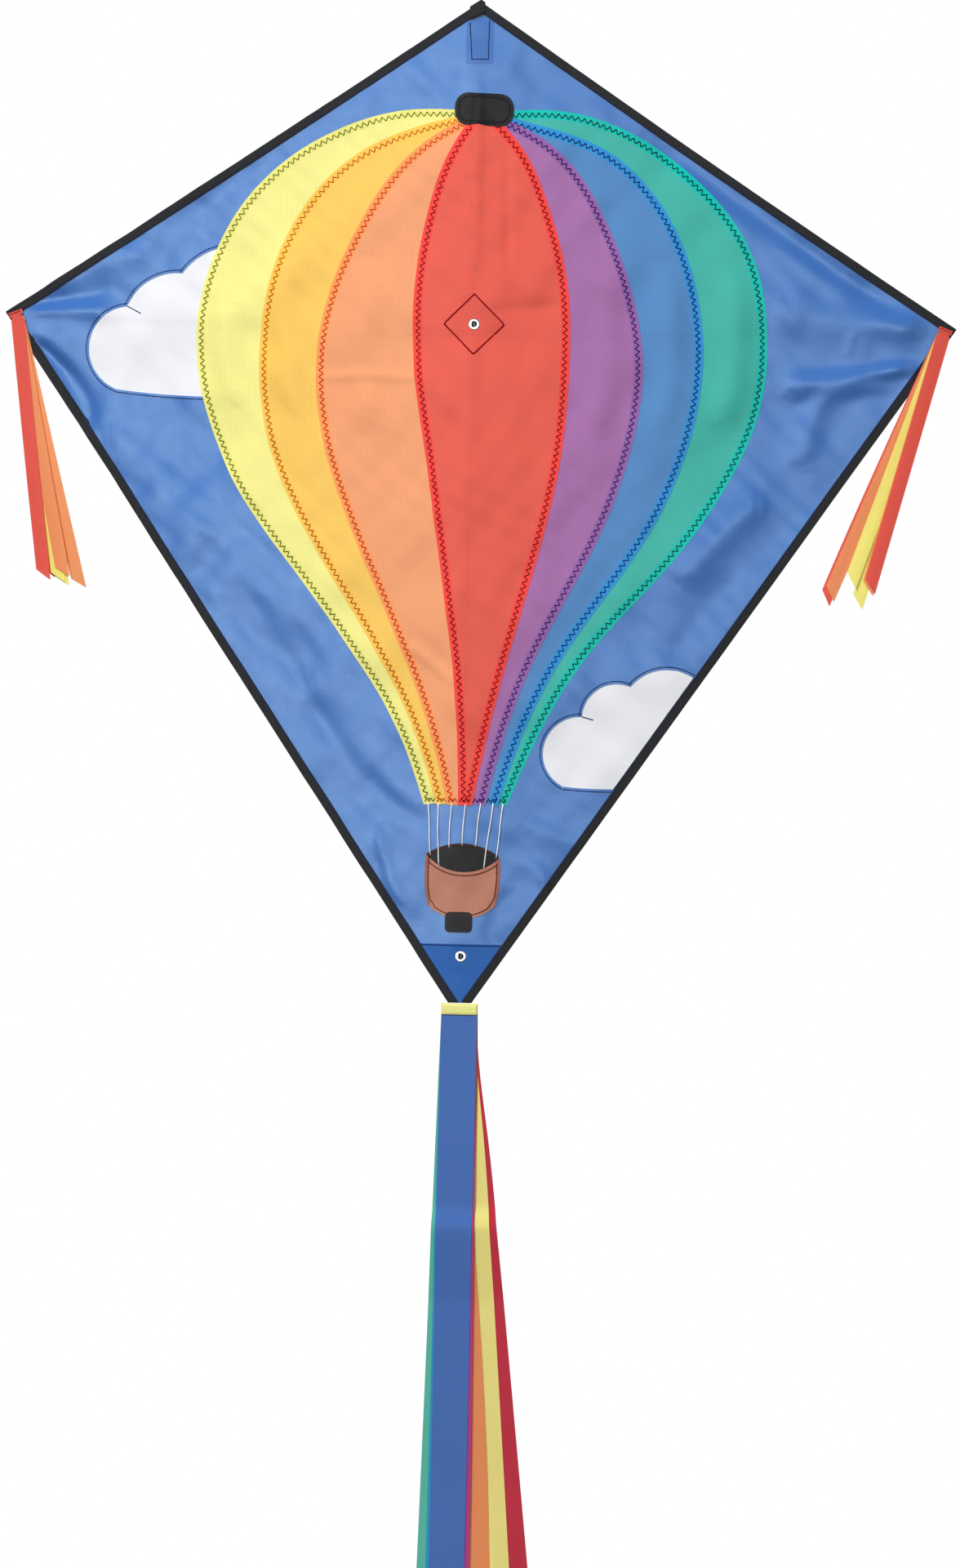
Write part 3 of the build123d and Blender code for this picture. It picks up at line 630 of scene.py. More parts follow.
class Nodes:
    """Small helper that adds nodes to a material and links them."""

    def __init__(self, name):
        self.material = bpy.data.materials.new(name)
        self.material.use_nodes = True
        self.tree = self.material.node_tree
        self.tree.nodes.clear()
        self.output = self.tree.nodes.new("ShaderNodeOutputMaterial")

    def feed(self, socket, value):
        """Give an input a value or link another output to it."""
        if isinstance(value, bpy.types.NodeSocket):
            self.tree.links.new(value, socket)
        else:
            socket.default_value = value

    def add(self, kind, settings=None, **inputs):
        """New node of a kind with its settings and inputs, by name or as i0, i1 and so on."""
        node = self.tree.nodes.new(f"ShaderNode{kind}")
        for key, value in (settings or {}).items():
            setattr(node, key, value)
        for key, value in inputs.items():
            place = int(key[1:]) if key[1:].isdigit() else key.replace("_", " ")
            self.feed(node.inputs[place], value)
        return node

    def math(self, operation, a, b=0.0, c=0.0):
        """Result of a maths node."""
        return self.add("Math", {"operation": operation}, i0=a, i1=b, i2=c).outputs[0]

    def mix(self, factor, a, b, blend="MIX"):
        """Result of mixing two colours."""
        settings = {"data_type": "RGBA", "blend_type": blend}
        return self.add("Mix", settings, i0=factor, i6=a, i7=b).outputs[2]

    def noise(self, place, scale, detail=2.0, roughness=0.5, stretch=None):
        """Noise at a place, squeezed along each axis by a stretch."""
        if stretch:
            place = self.add("Mapping", i0=place, Scale=stretch).outputs[0]
        inputs = {"Vector": place, "Scale": scale, "Detail": detail, "Roughness": roughness}
        return self.add("TexNoise", **inputs).outputs[0]

    def lines(self, coordinate, pitch, sharpness):
        """Lines at a pitch in millimetres across a coordinate: 1 on a line, 0 between."""
        wave = self.math("COSINE", self.math("MULTIPLY", coordinate, tau / (pitch * MM)))
        return self.math("POWER", self.math("MULTIPLY_ADD", wave, 0.5, 0.5), sharpness)

    def cloth(self):
        """Place on the cloth in metres: as a vector, across it and along it."""
        place = self.add("UVMap", {"uv_map": "cloth"}).outputs[0]
        across, along, _ = self.add("SeparateXYZ", i0=place).outputs
        return place, across, along

    def bump(self, strength, distance, height, **under):
        """Normal of a surface with a fine height in metres."""
        inputs = {"Strength": strength, "Distance": distance, "Height": height, **under}
        return self.add("Bump", **inputs).outputs[0]

    def surface(self, tint, roughness, normal, through=None, **inputs):
        """Finished material: a surface that lets a share of the light through, if it has one."""
        inputs = {"Base_Color": tint, "Roughness": roughness, "Normal": normal, **inputs}
        shader = self.add("BsdfPrincipled", **inputs).outputs[0]
        if through is not None:
            glow = self.add("BsdfTranslucent", Color=tint, Normal=normal).outputs[0]
            shader = self.add("MixShader", i0=through, i1=shader, i2=glow).outputs[0]
        return self.finish(shader)

    def finish(self, shader):
        """Connect the surface and return the material."""
        self.tree.links.new(shader, self.output.inputs["Surface"])
        return self.material


def nylon(name, colour, through=0.18, mottle=0.05, roughness=0.5, sheen=0.12,
          weave=1.0, gloss=0.16, lustre=(1, 1, 1, 1)):
    """Thin coated ripstop nylon: a fine grid of thicker threads, soft mottling, light through it."""
    colour = tone(*colour)
    nodes = Nodes(name)
    place, across, along = nodes.cloth()
    drift = nodes.math("MULTIPLY_ADD", nodes.noise(place, 40.0), 0.0012, -0.0006)
    grid = nodes.math(
        "MAXIMUM",
        nodes.lines(nodes.math("ADD", across, drift), 5.2, 26.0),
        nodes.lines(nodes.math("ADD", along, drift), 5.2, 26.0),
    )
    patches = nodes.noise(place, 9.0, 3.0, 0.6)
    cloudy = nodes.noise(place, 55.0, 4.0, 0.65)
    yarn = nodes.noise(place, 110.0, stretch=(1.0, 14.0, 1.0))
    tint = nodes.mix(patches, scaled(colour, 1 - mottle), scaled(colour, 1 + mottle))
    darker = nodes.mix(1.0, tint, scaled((1, 1, 1), 1 - mottle), "MULTIPLY")
    tint = nodes.mix(cloudy, darker, tint)
    tint = nodes.mix(nodes.math("MULTIPLY", grid, 0.35 * weave), tint, scaled(colour, 0.86))
    tint = nodes.mix(nodes.math("MULTIPLY", yarn, 0.14 * weave), tint, scaled(colour, 0.9))
    height = nodes.math("ADD", nodes.math("MULTIPLY", grid, 0.5), nodes.math("MULTIPLY", yarn, 0.6))
    fine = nodes.bump(0.16, 0.0002, height)
    normal = nodes.bump(0.22, 0.0014, nodes.noise(place, 70.0, 3.0, 0.55), Normal=fine)
    rough = nodes.math("MULTIPLY_ADD", cloudy, 0.16, roughness - 0.08)
    return nodes.surface(
        tint, rough, normal, through, Sheen_Weight=sheen, Sheen_Roughness=0.4,
        Specular_IOR_Level=gloss, Specular_Tint=lustre,
    )


def tape(name, colour, rib=0.9):
    """Woven tape: fine ribs across it and a duller, slightly worn surface."""
    colour = tone(*colour)
    nodes = Nodes(name)
    place, across, along = nodes.cloth()
    weave = nodes.math(
        "MULTIPLY_ADD", nodes.lines(across, rib * 0.6, 1.0), 0.4, nodes.lines(along, rib, 1.5)
    )
    tint = nodes.mix(nodes.noise(place, 160.0, 4.0), scaled(colour, 0.85), scaled(colour, 1.25))
    tint = nodes.mix(nodes.math("MULTIPLY", weave, 0.3), tint, scaled(colour, 1.5))
    return nodes.surface(
        tint, 0.62, nodes.bump(0.45, 0.0003, weave), Sheen_Weight=0.15, Sheen_Roughness=0.5,
        Specular_IOR_Level=0.2,
    )


def ribbon_cloth(name, colour, through=0.28, rib=0.7):
    """Thin woven ribbon with fine ribs across it and a soft lustre."""
    colour = tone(*colour)
    nodes = Nodes(name)
    place, _, along = nodes.cloth()
    broad = nodes.noise(place, 14.0, 3.0)
    streaks = nodes.noise(place, 45.0, 3.0, stretch=(1.0, 18.0, 1.0))
    tint = nodes.mix(broad, scaled(colour, 0.93), scaled(colour, 1.07))
    tint = nodes.mix(nodes.math("MULTIPLY", streaks, 0.3), tint, scaled(colour, 0.88))
    height = nodes.math("MULTIPLY_ADD", streaks, 0.8, nodes.lines(along, rib, 1.5))
    return nodes.surface(
        tint, 0.45, nodes.bump(0.25, 0.0003, height), through, Sheen_Weight=0.15,
        Sheen_Roughness=0.4, Specular_IOR_Level=0.2,
    )


def thread(name, colour, roughness=0.55):
    """Twisted sewing thread."""
    colour = tone(*colour)
    nodes = Nodes(name)
    fleck = nodes.noise(nodes.add("TexCoord").outputs["Object"], 1400.0)
    tint = nodes.mix(fleck, scaled(colour, 0.75), scaled(colour, 1.2))
    return nodes.surface(tint, roughness, nodes.bump(0.3, 0.0001, fleck), Specular_IOR_Level=0.1)


def hard(name, colour, roughness, metallic=0.0, grain=(1.0, 1.0, 1.0), scale=400.0, depth=0.1):
    """Moulded, drawn or plated surface with fine marks along one direction."""
    colour = tone(*colour)
    nodes = Nodes(name)
    marks = nodes.noise(nodes.add("TexCoord").outputs["Object"], scale, 4.0, stretch=grain)
    tint = nodes.mix(marks, scaled(colour, 0.85), scaled(colour, 1.15))
    rough = nodes.math("MULTIPLY_ADD", marks, 0.2, roughness - 0.1)
    return nodes.surface(tint, rough, nodes.bump(depth, 0.0002, marks), Metallic=metallic)


CLOTH = {
    "sky": nylon("sky nylon", (54, 107, 184), 0.12, roughness=0.47, sheen=0.0,
                 gloss=1.0, lustre=(0.68, 0.9, 0.96, 1)),
    # The doubled and lined sky copies: the layer behind is real, but their darker, deeper tone is painted
    # shade for the light that this layer holds back.
    "sky_double": nylon("sky nylon doubled", (22, 84, 168), 0.06, roughness=0.56, sheen=0.0,
                        gloss=0.6, lustre=(0.5, 0.8, 0.96, 1)),
    "sky_lined": nylon("sky nylon lined", (42, 92, 170), 0.08, roughness=0.47, sheen=0.0,
                       gloss=0.8, lustre=(0.62, 0.88, 0.96, 1)),
    "white": nylon("white nylon", (238, 239, 244), mottle=0.012, weave=0.35),
    "patch": nylon("red patch nylon", (240, 110, 96), 0.5),
    "brown": nylon("brown nylon", (190, 128, 104), 0.1),
    # The turned-in brown: the fold under is real, but its darker tone is painted shade for the light that
    # the second layer holds back.
    "brown_double": nylon("brown nylon turned in", (160, 98, 80), 0.06),
    "black": nylon("black nylon", (29, 30, 32), 0.0, mottle=0.12, sheen=0.05),
    "label": nylon("label cloth", (26, 27, 30), 0.0, mottle=0.1, sheen=0.05),
}
# A panel looks paler than the two layers of its seam, because light comes through it:
# tone of the panel, tone of the seam, light through the seam, mottling
for colour, single, double, through, mottle in (
    ("yellow", (246, 239, 145), (246, 240, 135), 0.16, 0.03),
    ("gold", (250, 202, 96), (247, 195, 82), 0.06, 0.04),
    ("orange", (244, 163, 115), (247, 152, 86), 0.06, 0.04),
    ("red", (233, 95, 80), (244, 68, 60), 0.06, 0.05),
    ("purple", (168, 112, 170), (146, 98, 166), 0.06, 0.05),
    ("blue", (86, 139, 197), (44, 144, 212), 0.06, 0.05),
    ("green", (68, 182, 168), (6, 190, 176), 0.06, 0.05),
):
    CLOTH[colour] = nylon(f"{colour} nylon", single, mottle=mottle)
    CLOTH[f"{colour}_double"] = nylon(f"{colour} nylon doubled", double, through, mottle=mottle)
BLACK_TAPE = tape("black woven tape", (30, 31, 34))
THREAD = {
    key: thread(name, colour) for key, name, colour in (
        ("yellow", "olive thread", (104, 118, 30)),
        ("gold", "brown orange thread", (196, 98, 0)),
        ("orange", "red brown thread", (206, 56, 14)),
        ("red", "dark red thread", (142, 0, 14)),
        ("purple", "dark purple thread", (58, 14, 104)),
        ("blue", "navy thread", (6, 34, 116)),
        ("green", "dark green thread", (0, 66, 62)),
        ("sky", "blue thread", (24, 52, 120)),
        ("brown", "dark brown thread", (96, 48, 44)),
        ("black", "black thread", (26, 26, 30)),
        ("navy", "navy tape thread", (34, 44, 92)),
        ("band", "pale yellow thread", (226, 222, 120)),
    )
}
WHITE_THREAD = thread("white rigging thread", (252, 252, 252), 0.4)
RIBBON = {
    key: ribbon_cloth(f"{key} ribbon", colour) for key, colour in (
        ("red", (233, 92, 78)), ("orange", (243, 155, 102)), ("yellow", (252, 240, 128)),
    )
}
STREAMER = {
    key: ribbon_cloth(f"{key.replace('_', ' ')} streamer", colour, 0.2, 0.9) for key, colour in (
        ("royal_blue", (72, 116, 192)), ("purple", (186, 58, 140)), ("sky_blue", (40, 160, 205)),
        ("green", (86, 184, 164)), ("red", (214, 60, 75)), ("orange", (240, 148, 94)),
        ("yellow", (250, 240, 142)), ("crimson", (192, 38, 60)),
    )
}
BAND_CLOTH = ribbon_cloth("yellow tail band", (240, 238, 146), 0.12, 1.2)
METAL = hard("nickel eyelet", (214, 216, 218), 0.3, 1.0, scale=900.0, depth=0.05)
FIBREGLASS = hard("black fibreglass", (38, 39, 42), 0.35, grain=(6.0, 6.0, 0.4), scale=900.0)
SPREADER_GLASS = hard("black fibreglass across", (38, 39, 42), 0.35, grain=(0.4, 6.0, 6.0), scale=900.0)
MOULDING = hard("black moulded plastic", (34, 35, 37), 0.5, scale=1500.0, depth=0.2)
VINYL = hard("black vinyl", (28, 29, 31), 0.42, scale=500.0, depth=0.12)


# ---- sail cloth
def declare(node, blank):
    """Hide the CAD node that a cloth piece stands for; the blank, flat size and area, is not used."""
    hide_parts(node)


def strip_blank(width, length):
    """Flat size in metres of a straight strip."""
    return (float(width) * MM, float(length) * MM), None


def pattern_blank(pattern):
    """Width and length of the blank that a pattern is cut from, and the pattern's area."""
    a, b, c = corners(pattern).swapaxes(0, 1)
    area = float(np.abs(np.cross(b - a, c - a)).sum()) / 2 * MM * MM
    width, length = np.ptp(pattern[0], axis=0) * MM
    if area < 0.3 * width * length:
        # a crescent is cut from a slanted strip, narrower than its upright box
        width = area / (0.32 * length)
    return (float(width), float(length)), area


def sail_cloth(node, pattern, depth, materials, layers=None):
    """Flat cloth laid on the folded sail at a depth, with the material of each triangle."""
    flat, faces = pattern
    materials = [CLOTH[material] for material in materials]
    made = new_object(f"{node}_cloth", on_sail(flat, depth), faces, "root", materials, flat * MM, layers)
    declare(node, pattern_blank(pattern))


seams = [smooth_line(points) for points in BALLOON_SEAMS]
hem_x = [points[-1][0] for points in BALLOON_SEAMS]
diamond = DIAMOND_REACH * np.array([(0.0, 1.0), (-1.0, 0.0), (0.0, -1.0), (1.0, 0.0)])
across_tail = np.stack([np.linspace(-60, 60, 50), np.full(50, REINFORCEMENT_TOP)], 1)
across_tail = across_tail[inside(across_tail, kite_loop(2.0))]

# Rows of stitches by the colour of their thread
ROWS = {colour: [] for colour in THREAD}


def sew(colour, line, front, back, pitch=STRAIGHT_PITCH, width=0.0):
    """Add a row of stitches in a colour between two depths; one with a width is a zigzag."""
    ROWS[colour].append((np.asarray(line), pitch, width, front, back))


for index, seam in enumerate(seams):
    if index < 4:
        over, under, inset = index, index - 1, ZIGZAG_INSET
    else:
        over, under, inset = index - 1, index, -ZIGZAG_INSET
    back = PANELS[under][1] if 0 <= under < len(PANELS) else 0.0
    sew(PANELS[over][0], shifted(seam, inset)[2:-1], PANELS[over][1], back, *SEAM_ZIGZAG)
for index, (colour, depth) in enumerate(PANELS):
    hem = ((hem_x[index] + 1.0, HEM_Z + 4.4), (hem_x[index + 1] - 1.0, HEM_Z + 4.4))
    sew(colour, hem, depth, 0.0, *HEM_ZIGZAG)
balloon_loop = np.vstack([seams[0], seams[-1][::-1]])
taped_in = kite_loop(BINDING_WIDTH)
for lobe in arcs_of(LEFT_CLOUD) + arcs_of(RIGHT_CLOUD):
    line = respaced(shifted(arc(*lobe), -2.4), 1.0)
    sew("sky", line[inside(line, taped_in) & ~inside(line, balloon_loop)], 0.0, CLOUD_DEPTH)
for dart in (((-315.9, 11.5), (-303.2, 5.2)), ((102.6, -347), (112.6, -349.8))):
    sew("sky", dart, CLOUD_DEPTH, CLOUD_DEPTH)
for reach in (0.985, 0.96):
    sew("red", closed(diamond) * reach, -1.2, PATCH_DEPTH)
sew("sky", across_tail[2:-2] + (0, -1.2), 0.0, PATCH_DEPTH)
for ends in (((-9.3, 268.5), (-6.9, 235.6)), ((8.1, 270.3), (7.7, 235.9)), ((-7.4, 235.7), (8.0, 235.7))):
    sew("navy", ends, 0.0, POCKET_DEPTH)
crown_inner = rounded_rectangle(CROWN_CENTRE, (45.0, 22.0), 9.0, CROWN_TILT)
sew("black", closed(crown_inner), CROWN_DEPTH, 0.0, *CROWN_ZIGZAG)
rim, right_side, bottom, left_side = (arc(*part) for part in arcs_of(BASKET))
top = arc(*BASKET_OPENING)
basket_line = np.vstack([
    shifted(rim, -3.0)[2:-2], shifted(right_side, -3.0)[3:-3],
    shifted(bottom, -2.6)[3:-3], shifted(left_side, -3.0)[3:],
])
sew("brown", basket_line, BASKET_DEPTH, 0.0, BASKET_PITCH)
sew("brown", shifted(top, -1.4)[1:-1], OPENING_DEPTH, 0.0, BASKET_PITCH)

# Each side panel lies over the one outside it, and the red one lies over both its neighbours
for index, (colour, depth) in enumerate(PANELS):
    left, right = seams[index], seams[index + 1]
    laps = []
    if index <= 3:
        laps.append((left, shifted(left, SEAM_ALLOWANCE)))
    else:
        left = shifted(left, -SEAM_ALLOWANCE)
    if index >= 3:
        laps.append((right, shifted(right, -SEAM_ALLOWANCE)))
    else:
        right = shifted(right, SEAM_ALLOWANCE)
    outline = np.vstack([left, right[::-1]])
    lines = [lap[(lap[:, 1] > HEM_Z + 1.5) & inside(lap, outline)] for _, lap in laps]
    pattern = flat_mesh(outline, [eyelet_hole(0)] if colour == "red" else [], lines)
    centre = corners(pattern).mean(1)
    doubled = np.zeros(len(centre), bool)
    for edge, lap in laps:
        doubled |= inside(centre, np.vstack([edge, lap[::-1]]))
    node, slot = f"panel_{colour}", f"{colour}_cloth"
    threads = stitching(node, ROWS[colour], THREAD[colour])
    sail_cloth(node, pattern, depth, (colour, f"{colour}_double"), doubled)

# Field: open under the balloon and over the clouds, doubled by the reinforcement at the tail
balloon_hole = np.vstack([
    shifted(seams[0], SEAM_ALLOWANCE)[6:-3],
    [(hem_x[0] + 12, HEM_Z + SEAM_ALLOWANCE), (hem_x[-1] - 12, HEM_Z + SEAM_ALLOWANCE)],
    shifted(seams[-1], -SEAM_ALLOWANCE)[::-1][3:-6],
])
left_cloud, right_cloud = joined(LEFT_CLOUD), joined(RIGHT_CLOUD)
lower_hole = eyelet_hole(LOWER_EYELET_Z)
nose_lining = respaced([
    (-LINING_HALF_WIDTH, 278.0), (-LINING_HALF_WIDTH, LINING_BOTTOM),
    (LINING_HALF_WIDTH, LINING_BOTTOM), (LINING_HALF_WIDTH, 278.0),
], 3.0)
pattern = flat_mesh(
    kite_loop(0.9), [balloon_hole, left_cloud, right_cloud, lower_hole], [across_tail, nose_lining]
)
x, z = corners(pattern).mean(1).T
# Faces over the reinforcement and over the nose lining take the darker doubled and lined tones: painted
# shade for the light that the layer behind holds back.
layers = (z < REINFORCEMENT_TOP).astype(int)
layers[(np.abs(x) < LINING_HALF_WIDTH) & (z > LINING_BOTTOM)] = 2
threads = [
    stitching("cloud", ROWS["sky"], THREAD["sky"]),
    stitching("nose_pocket", ROWS["navy"], THREAD["navy"]),
]
sail_cloth("sail_field", pattern, 0.0, ("sky", "sky_double", "sky_lined"), layers)

# Clouds behind their openings, each with a margin
for side_name, outline in (("left", left_cloud), ("right", right_cloud)):
    away = outline - outline.mean(0)
    away /= np.linalg.norm(away, axis=1)[:, None]
    grown = respaced(closed(outline + away * CLOUD_MARGIN), 3.0)[:-1]
    if side_name == "left":
        # the cloud ends just inside the balloon's edge
        edge = seams[0][20:][::-1]
        limit = np.interp(grown[:, 1], edge[:, 1], edge[:, 0]) + SEAM_ALLOWANCE
    else:
        # the cloud is cut off with the sail's edge, under the tape
        limit = (grown[:, 1] - TAIL_Z) / LOWER_SLOPE + TAIL_HALF_WIDTH - 1.6
    grown[:, 0] = np.minimum(grown[:, 0], limit)
    sail_cloth(f"cloud_{side_name}", flat_mesh(grown), CLOUD_DEPTH, ("white",))

# Patches on the front
crown_loop = rounded_rectangle(CROWN_CENTRE, CROWN_SIZE, CROWN_CORNER, CROWN_TILT)
threads = [stitching("crown", ROWS["black"], THREAD["black"], 0.3)]
sail_cloth("crown_patch", flat_mesh(crown_loop, spacing=PATCH_SPACING),
           CROWN_DEPTH, ("black",), None)
side_lines = [shifted(line, -2.9)[2:-2] for line in (right_side, left_side)]
pattern = flat_mesh(joined(BASKET)[:-1], (), side_lines, PATCH_SPACING)
x, z = corners(pattern).mean(1).T
# The turned-in sides take the darker brown: painted shade for the light that the fold under holds back.
turned_in = np.abs(x) > 30.2 - 0.06 * np.abs(z + 495)
threads = [stitching("basket", ROWS["brown"], THREAD["brown"])]
sail_cloth("basket", pattern, BASKET_DEPTH, ("brown", "brown_double"), turned_in)
opening_loop = np.vstack([top[:-1], (rim - (0, 1.5))[::-1][:-1]])
sail_cloth("basket_opening", flat_mesh(opening_loop, spacing=PATCH_SPACING),
           OPENING_DEPTH, ("black",))
label_loop = rounded_rectangle(LABEL_CENTRE, LABEL_SIZE, LABEL_CORNER)
sail_cloth("label_patch", flat_mesh(label_loop, spacing=2.0), LABEL_DEPTH, ("label",))

# Patches behind
pattern = flat_mesh(diamond, [eyelet_hole(0)], spacing=3.0)
sail_cloth("centre_patch", pattern, PATCH_DEPTH, ("patch",))
tail_loop = kite_loop(BINDING_WIDTH - 1.0)
tail_loop = tail_loop[tail_loop[:, 1] < REINFORCEMENT_TOP]
tail_top = [(tail_loop[end][0], REINFORCEMENT_TOP) for end in (-1, 0)]
pattern = flat_mesh(np.vstack([tail_loop, tail_top]), [lower_hole], spacing=3.0)
sail_cloth("tail_reinforcement", pattern, PATCH_DEPTH, ("sky_double",))

# ---- edge tape
bend = np.linspace(pi / 2, -pi / 2, 7)
tape_profile = np.vstack([
    [(8.0, 0.1 - TAPE_DEPTH), (7.2, -TAPE_DEPTH), (4.5, -TAPE_DEPTH - 0.05), (1.6, -TAPE_DEPTH)],
    np.stack([0.75 - 0.55 * np.cos(bend), -TAPE_DEPTH * np.sin(bend)], 1),
    [(1.6, TAPE_DEPTH), (4.5, TAPE_DEPTH + 0.05), (7.8, TAPE_DEPTH), (8.6, TAPE_DEPTH - 0.1)],
])
tape_across = travel(tape_profile)
for side, side_name in SIDES:
    for limit in ("upper", "lower"):
        name = f"binding_{limit}_{side_name}"
        points = np.stack([
            on_sail(edge_line(side, limit, inset, 150), depth) for inset, depth in tape_profile
        ], 1)
        length = travel(points[:, 0])[-1] / MM
        strip = grid_object(
            f"{name}_tape", points, tape_across, np.linspace(0, length, len(points)), "root",
            [BLACK_TAPE], TAPE_THICKNESS,
        )
        line = edge_line(side, limit, 6.9, 200)[3:-3]
        row = (line, 2.8, 0.0, -TAPE_DEPTH - TAPE_THICKNESS / 2, TAPE_DEPTH + 0.2)
        threads = stitching(name, [row], THREAD["navy"], 0.2)
        declare(
            name, strip_blank(tape_across[-1], length),
        )

# Tape end wrapped over the nose
nose_columns = []
for x, z in respaced([(-9.5, 281.5), (0.5, 288.0), (4.0, 285.4)], 0.9):
    low = np.interp(x, (-9.5, 4.0), (270.5, 276.0))
    path = [(x, low + (z - low) * share, -1.1) for share in (0.0, 0.3, 0.6, 0.9)]
    path += [(x, z - 0.2 + 0.9 * sin(turn), -1.1 * cos(turn)) for turn in np.linspace(0.2, pi - 0.2, 7)]
    path += [(x, z - 1.0 - drop, 1.1) for drop in (0.0, 1.5, 3.0)]
    path = np.array(path)
    nose_columns.append(on_sail(path[:, :2], path[:, 2], False))
nose_tab = grid_object(
    "nose_tab_tape", np.array(nose_columns), np.linspace(0, 20, len(path)),
    np.linspace(0, 16, len(nose_columns)), "root", [BLACK_TAPE], TAPE_THICKNESS,
)
declare("nose_tab", strip_blank(16.5, 20.5))


# ---- rod pockets
def pocket(node, origin, outwards, length, half_width, thread_colour, material):
    """Cloth tunnel sewn down over a rod end, from its open mouth to its closed end."""
    origin, outwards = np.array(origin, float), np.array(outwards, float)
    outwards /= np.linalg.norm(outwards)
    sideways = np.array([-outwards[1], outwards[0]])
    across = np.linspace(-half_width, half_width, 41)
    along = np.concatenate([np.linspace(0, length - 6, 14), np.linspace(length - 5, length, 8)])
    # round over the rod, then sloping down to the stitches at each side
    radius, round_to = 3.6, 3.2
    stitch = min(8.0, half_width - 1.2)
    reach = np.abs(across)
    crest = ROD_DEPTH + np.sqrt(radius ** 2 - np.minimum(reach, round_to) ** 2) - POCKET_DEPTH
    fall = np.clip((stitch - reach) / (stitch - round_to), 0, 1)
    rise = np.where(reach < round_to, crest, crest * fall ** 1.6)
    points = []
    for distance in along:
        closing = np.clip((length - distance) / 5.0, 0, 1) ** 0.5
        pucker = 1 + 0.05 * sin(distance * 0.9)
        flat = origin + outwards * distance + sideways * across[:, None]
        points.append(on_sail(flat, POCKET_DEPTH + rise * closing * pucker))
    name = f"{node}_cloth"
    made = grid_object(name, np.array(points)[:, ::-1], across, along, "root", [material])
    rows = []
    for offset in (-stitch, stitch):
        ends = [origin + outwards * way + sideways * offset for way in (1.0, length - 1.0)]
        rows.append((np.array(ends), STRAIGHT_PITCH, 0.0, 0.6, POCKET_DEPTH))
    threads = stitching(name, rows, thread_colour, faces_shown=(1,))
    declare(
        node, strip_blank(2 * half_width, length),
    )


pocket("nose_pocket", (0, LINING_BOTTOM), (0, 1), 47.5, LINING_HALF_WIDTH,
       THREAD["navy"], CLOTH["sky_double"])
pocket("tail_pocket", (0, -570.5), (0, -1), 23.5, LINING_HALF_WIDTH,
       THREAD["navy"], CLOTH["sky_double"])
mouth_x = FOLD_X + 354.5 * cos(DIHEDRAL) - ROD_DEPTH * sin(DIHEDRAL)
for side, side_name in SIDES:
    pocket(f"wingtip_pocket_{side_name}", (side * mouth_x, 1.66), (side * 51.5, 1.94), 51.5, 7.9,
           THREAD["black"], CLOTH["black"])

# ---- rigging threads
rig_lines = []
for top_x, low_x, low_z in THREADS:
    share = np.linspace(0, 1, 13)
    flat = np.stack([
        top_x + (low_x - top_x) * share + 0.25 * np.sin(share * tau + top_x),
        THREAD_TOP_Z + (low_z - THREAD_TOP_Z) * share,
    ], 1)
    tucked = np.exp(-share / 0.012) + np.exp(-(1 - share) / 0.012)
    rig_lines.append(on_sail(flat, -1.2 - 0.25 * np.sin(share * pi) + 0.9 * tucked))
rigging = sewing(
    "rigging_threads_sewn", rig_lines, 0.52, WHITE_THREAD, sides=8
)
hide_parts("rigging_threads")


# ---- wingtip tassels
def wing_frame(side, lean):
    """Right, down and front directions of a ribbon lying on a wing and leaning inwards."""
    level = np.array([cos(DIHEDRAL), side * sin(DIHEDRAL), 0])
    rise = np.array([0, 0, 1])
    turn = radians(-side * lean)
    right = level * cos(turn) + rise * sin(turn)
    down = level * sin(turn) - rise * cos(turn)
    return right, down, np.array([side * sin(DIHEDRAL), -cos(DIHEDRAL), 0])


def wing_place(side, along, up, depth):
    """Point on a wing's plane in millimetres."""
    return np.array([
        side * (FOLD_X + along * cos(DIHEDRAL) - depth * sin(DIHEDRAL)),
        along * sin(DIHEDRAL) + depth * cos(DIHEDRAL),
        up,
    ])


def stitch_beads(needles, steps):
    """Place along a straight row and height of each bead of its thread."""
    for start, end in zip(needles, needles[1:]):
        for share, lift in steps:
            yield start + (end - start) * share, lift


RIBBON_DROP = HEM_HEIGHT / 2 + HEM_GAP + RIBBON_WIDTH / 2
HEM_FOLD = 0.25
SHADES = ("red", "orange", "yellow")
tilt = radians(HEM_TILT)
pivot = (HEM_CENTRE[0] - RIBBON_DROP * sin(tilt), HEM_CENTRE[1] - RIBBON_DROP * cos(tilt))
layer_depths = [HEM_DEPTH - layer * RIBBON_PITCH - RIBBON_PLY / 2 for layer in range(len(RIBBONS))]
# sideways sweep and twist at the end of each ribbon, back to front, left and right
CURLS = (
    ((0, 12), (3, 10)), ((0, 14), (0, 12)), ((0, 10), (0, 8)),
    ((0, 9), (0, 10)), ((0, 8), (0, 7)), ((0, 7), (0, 6)),
)


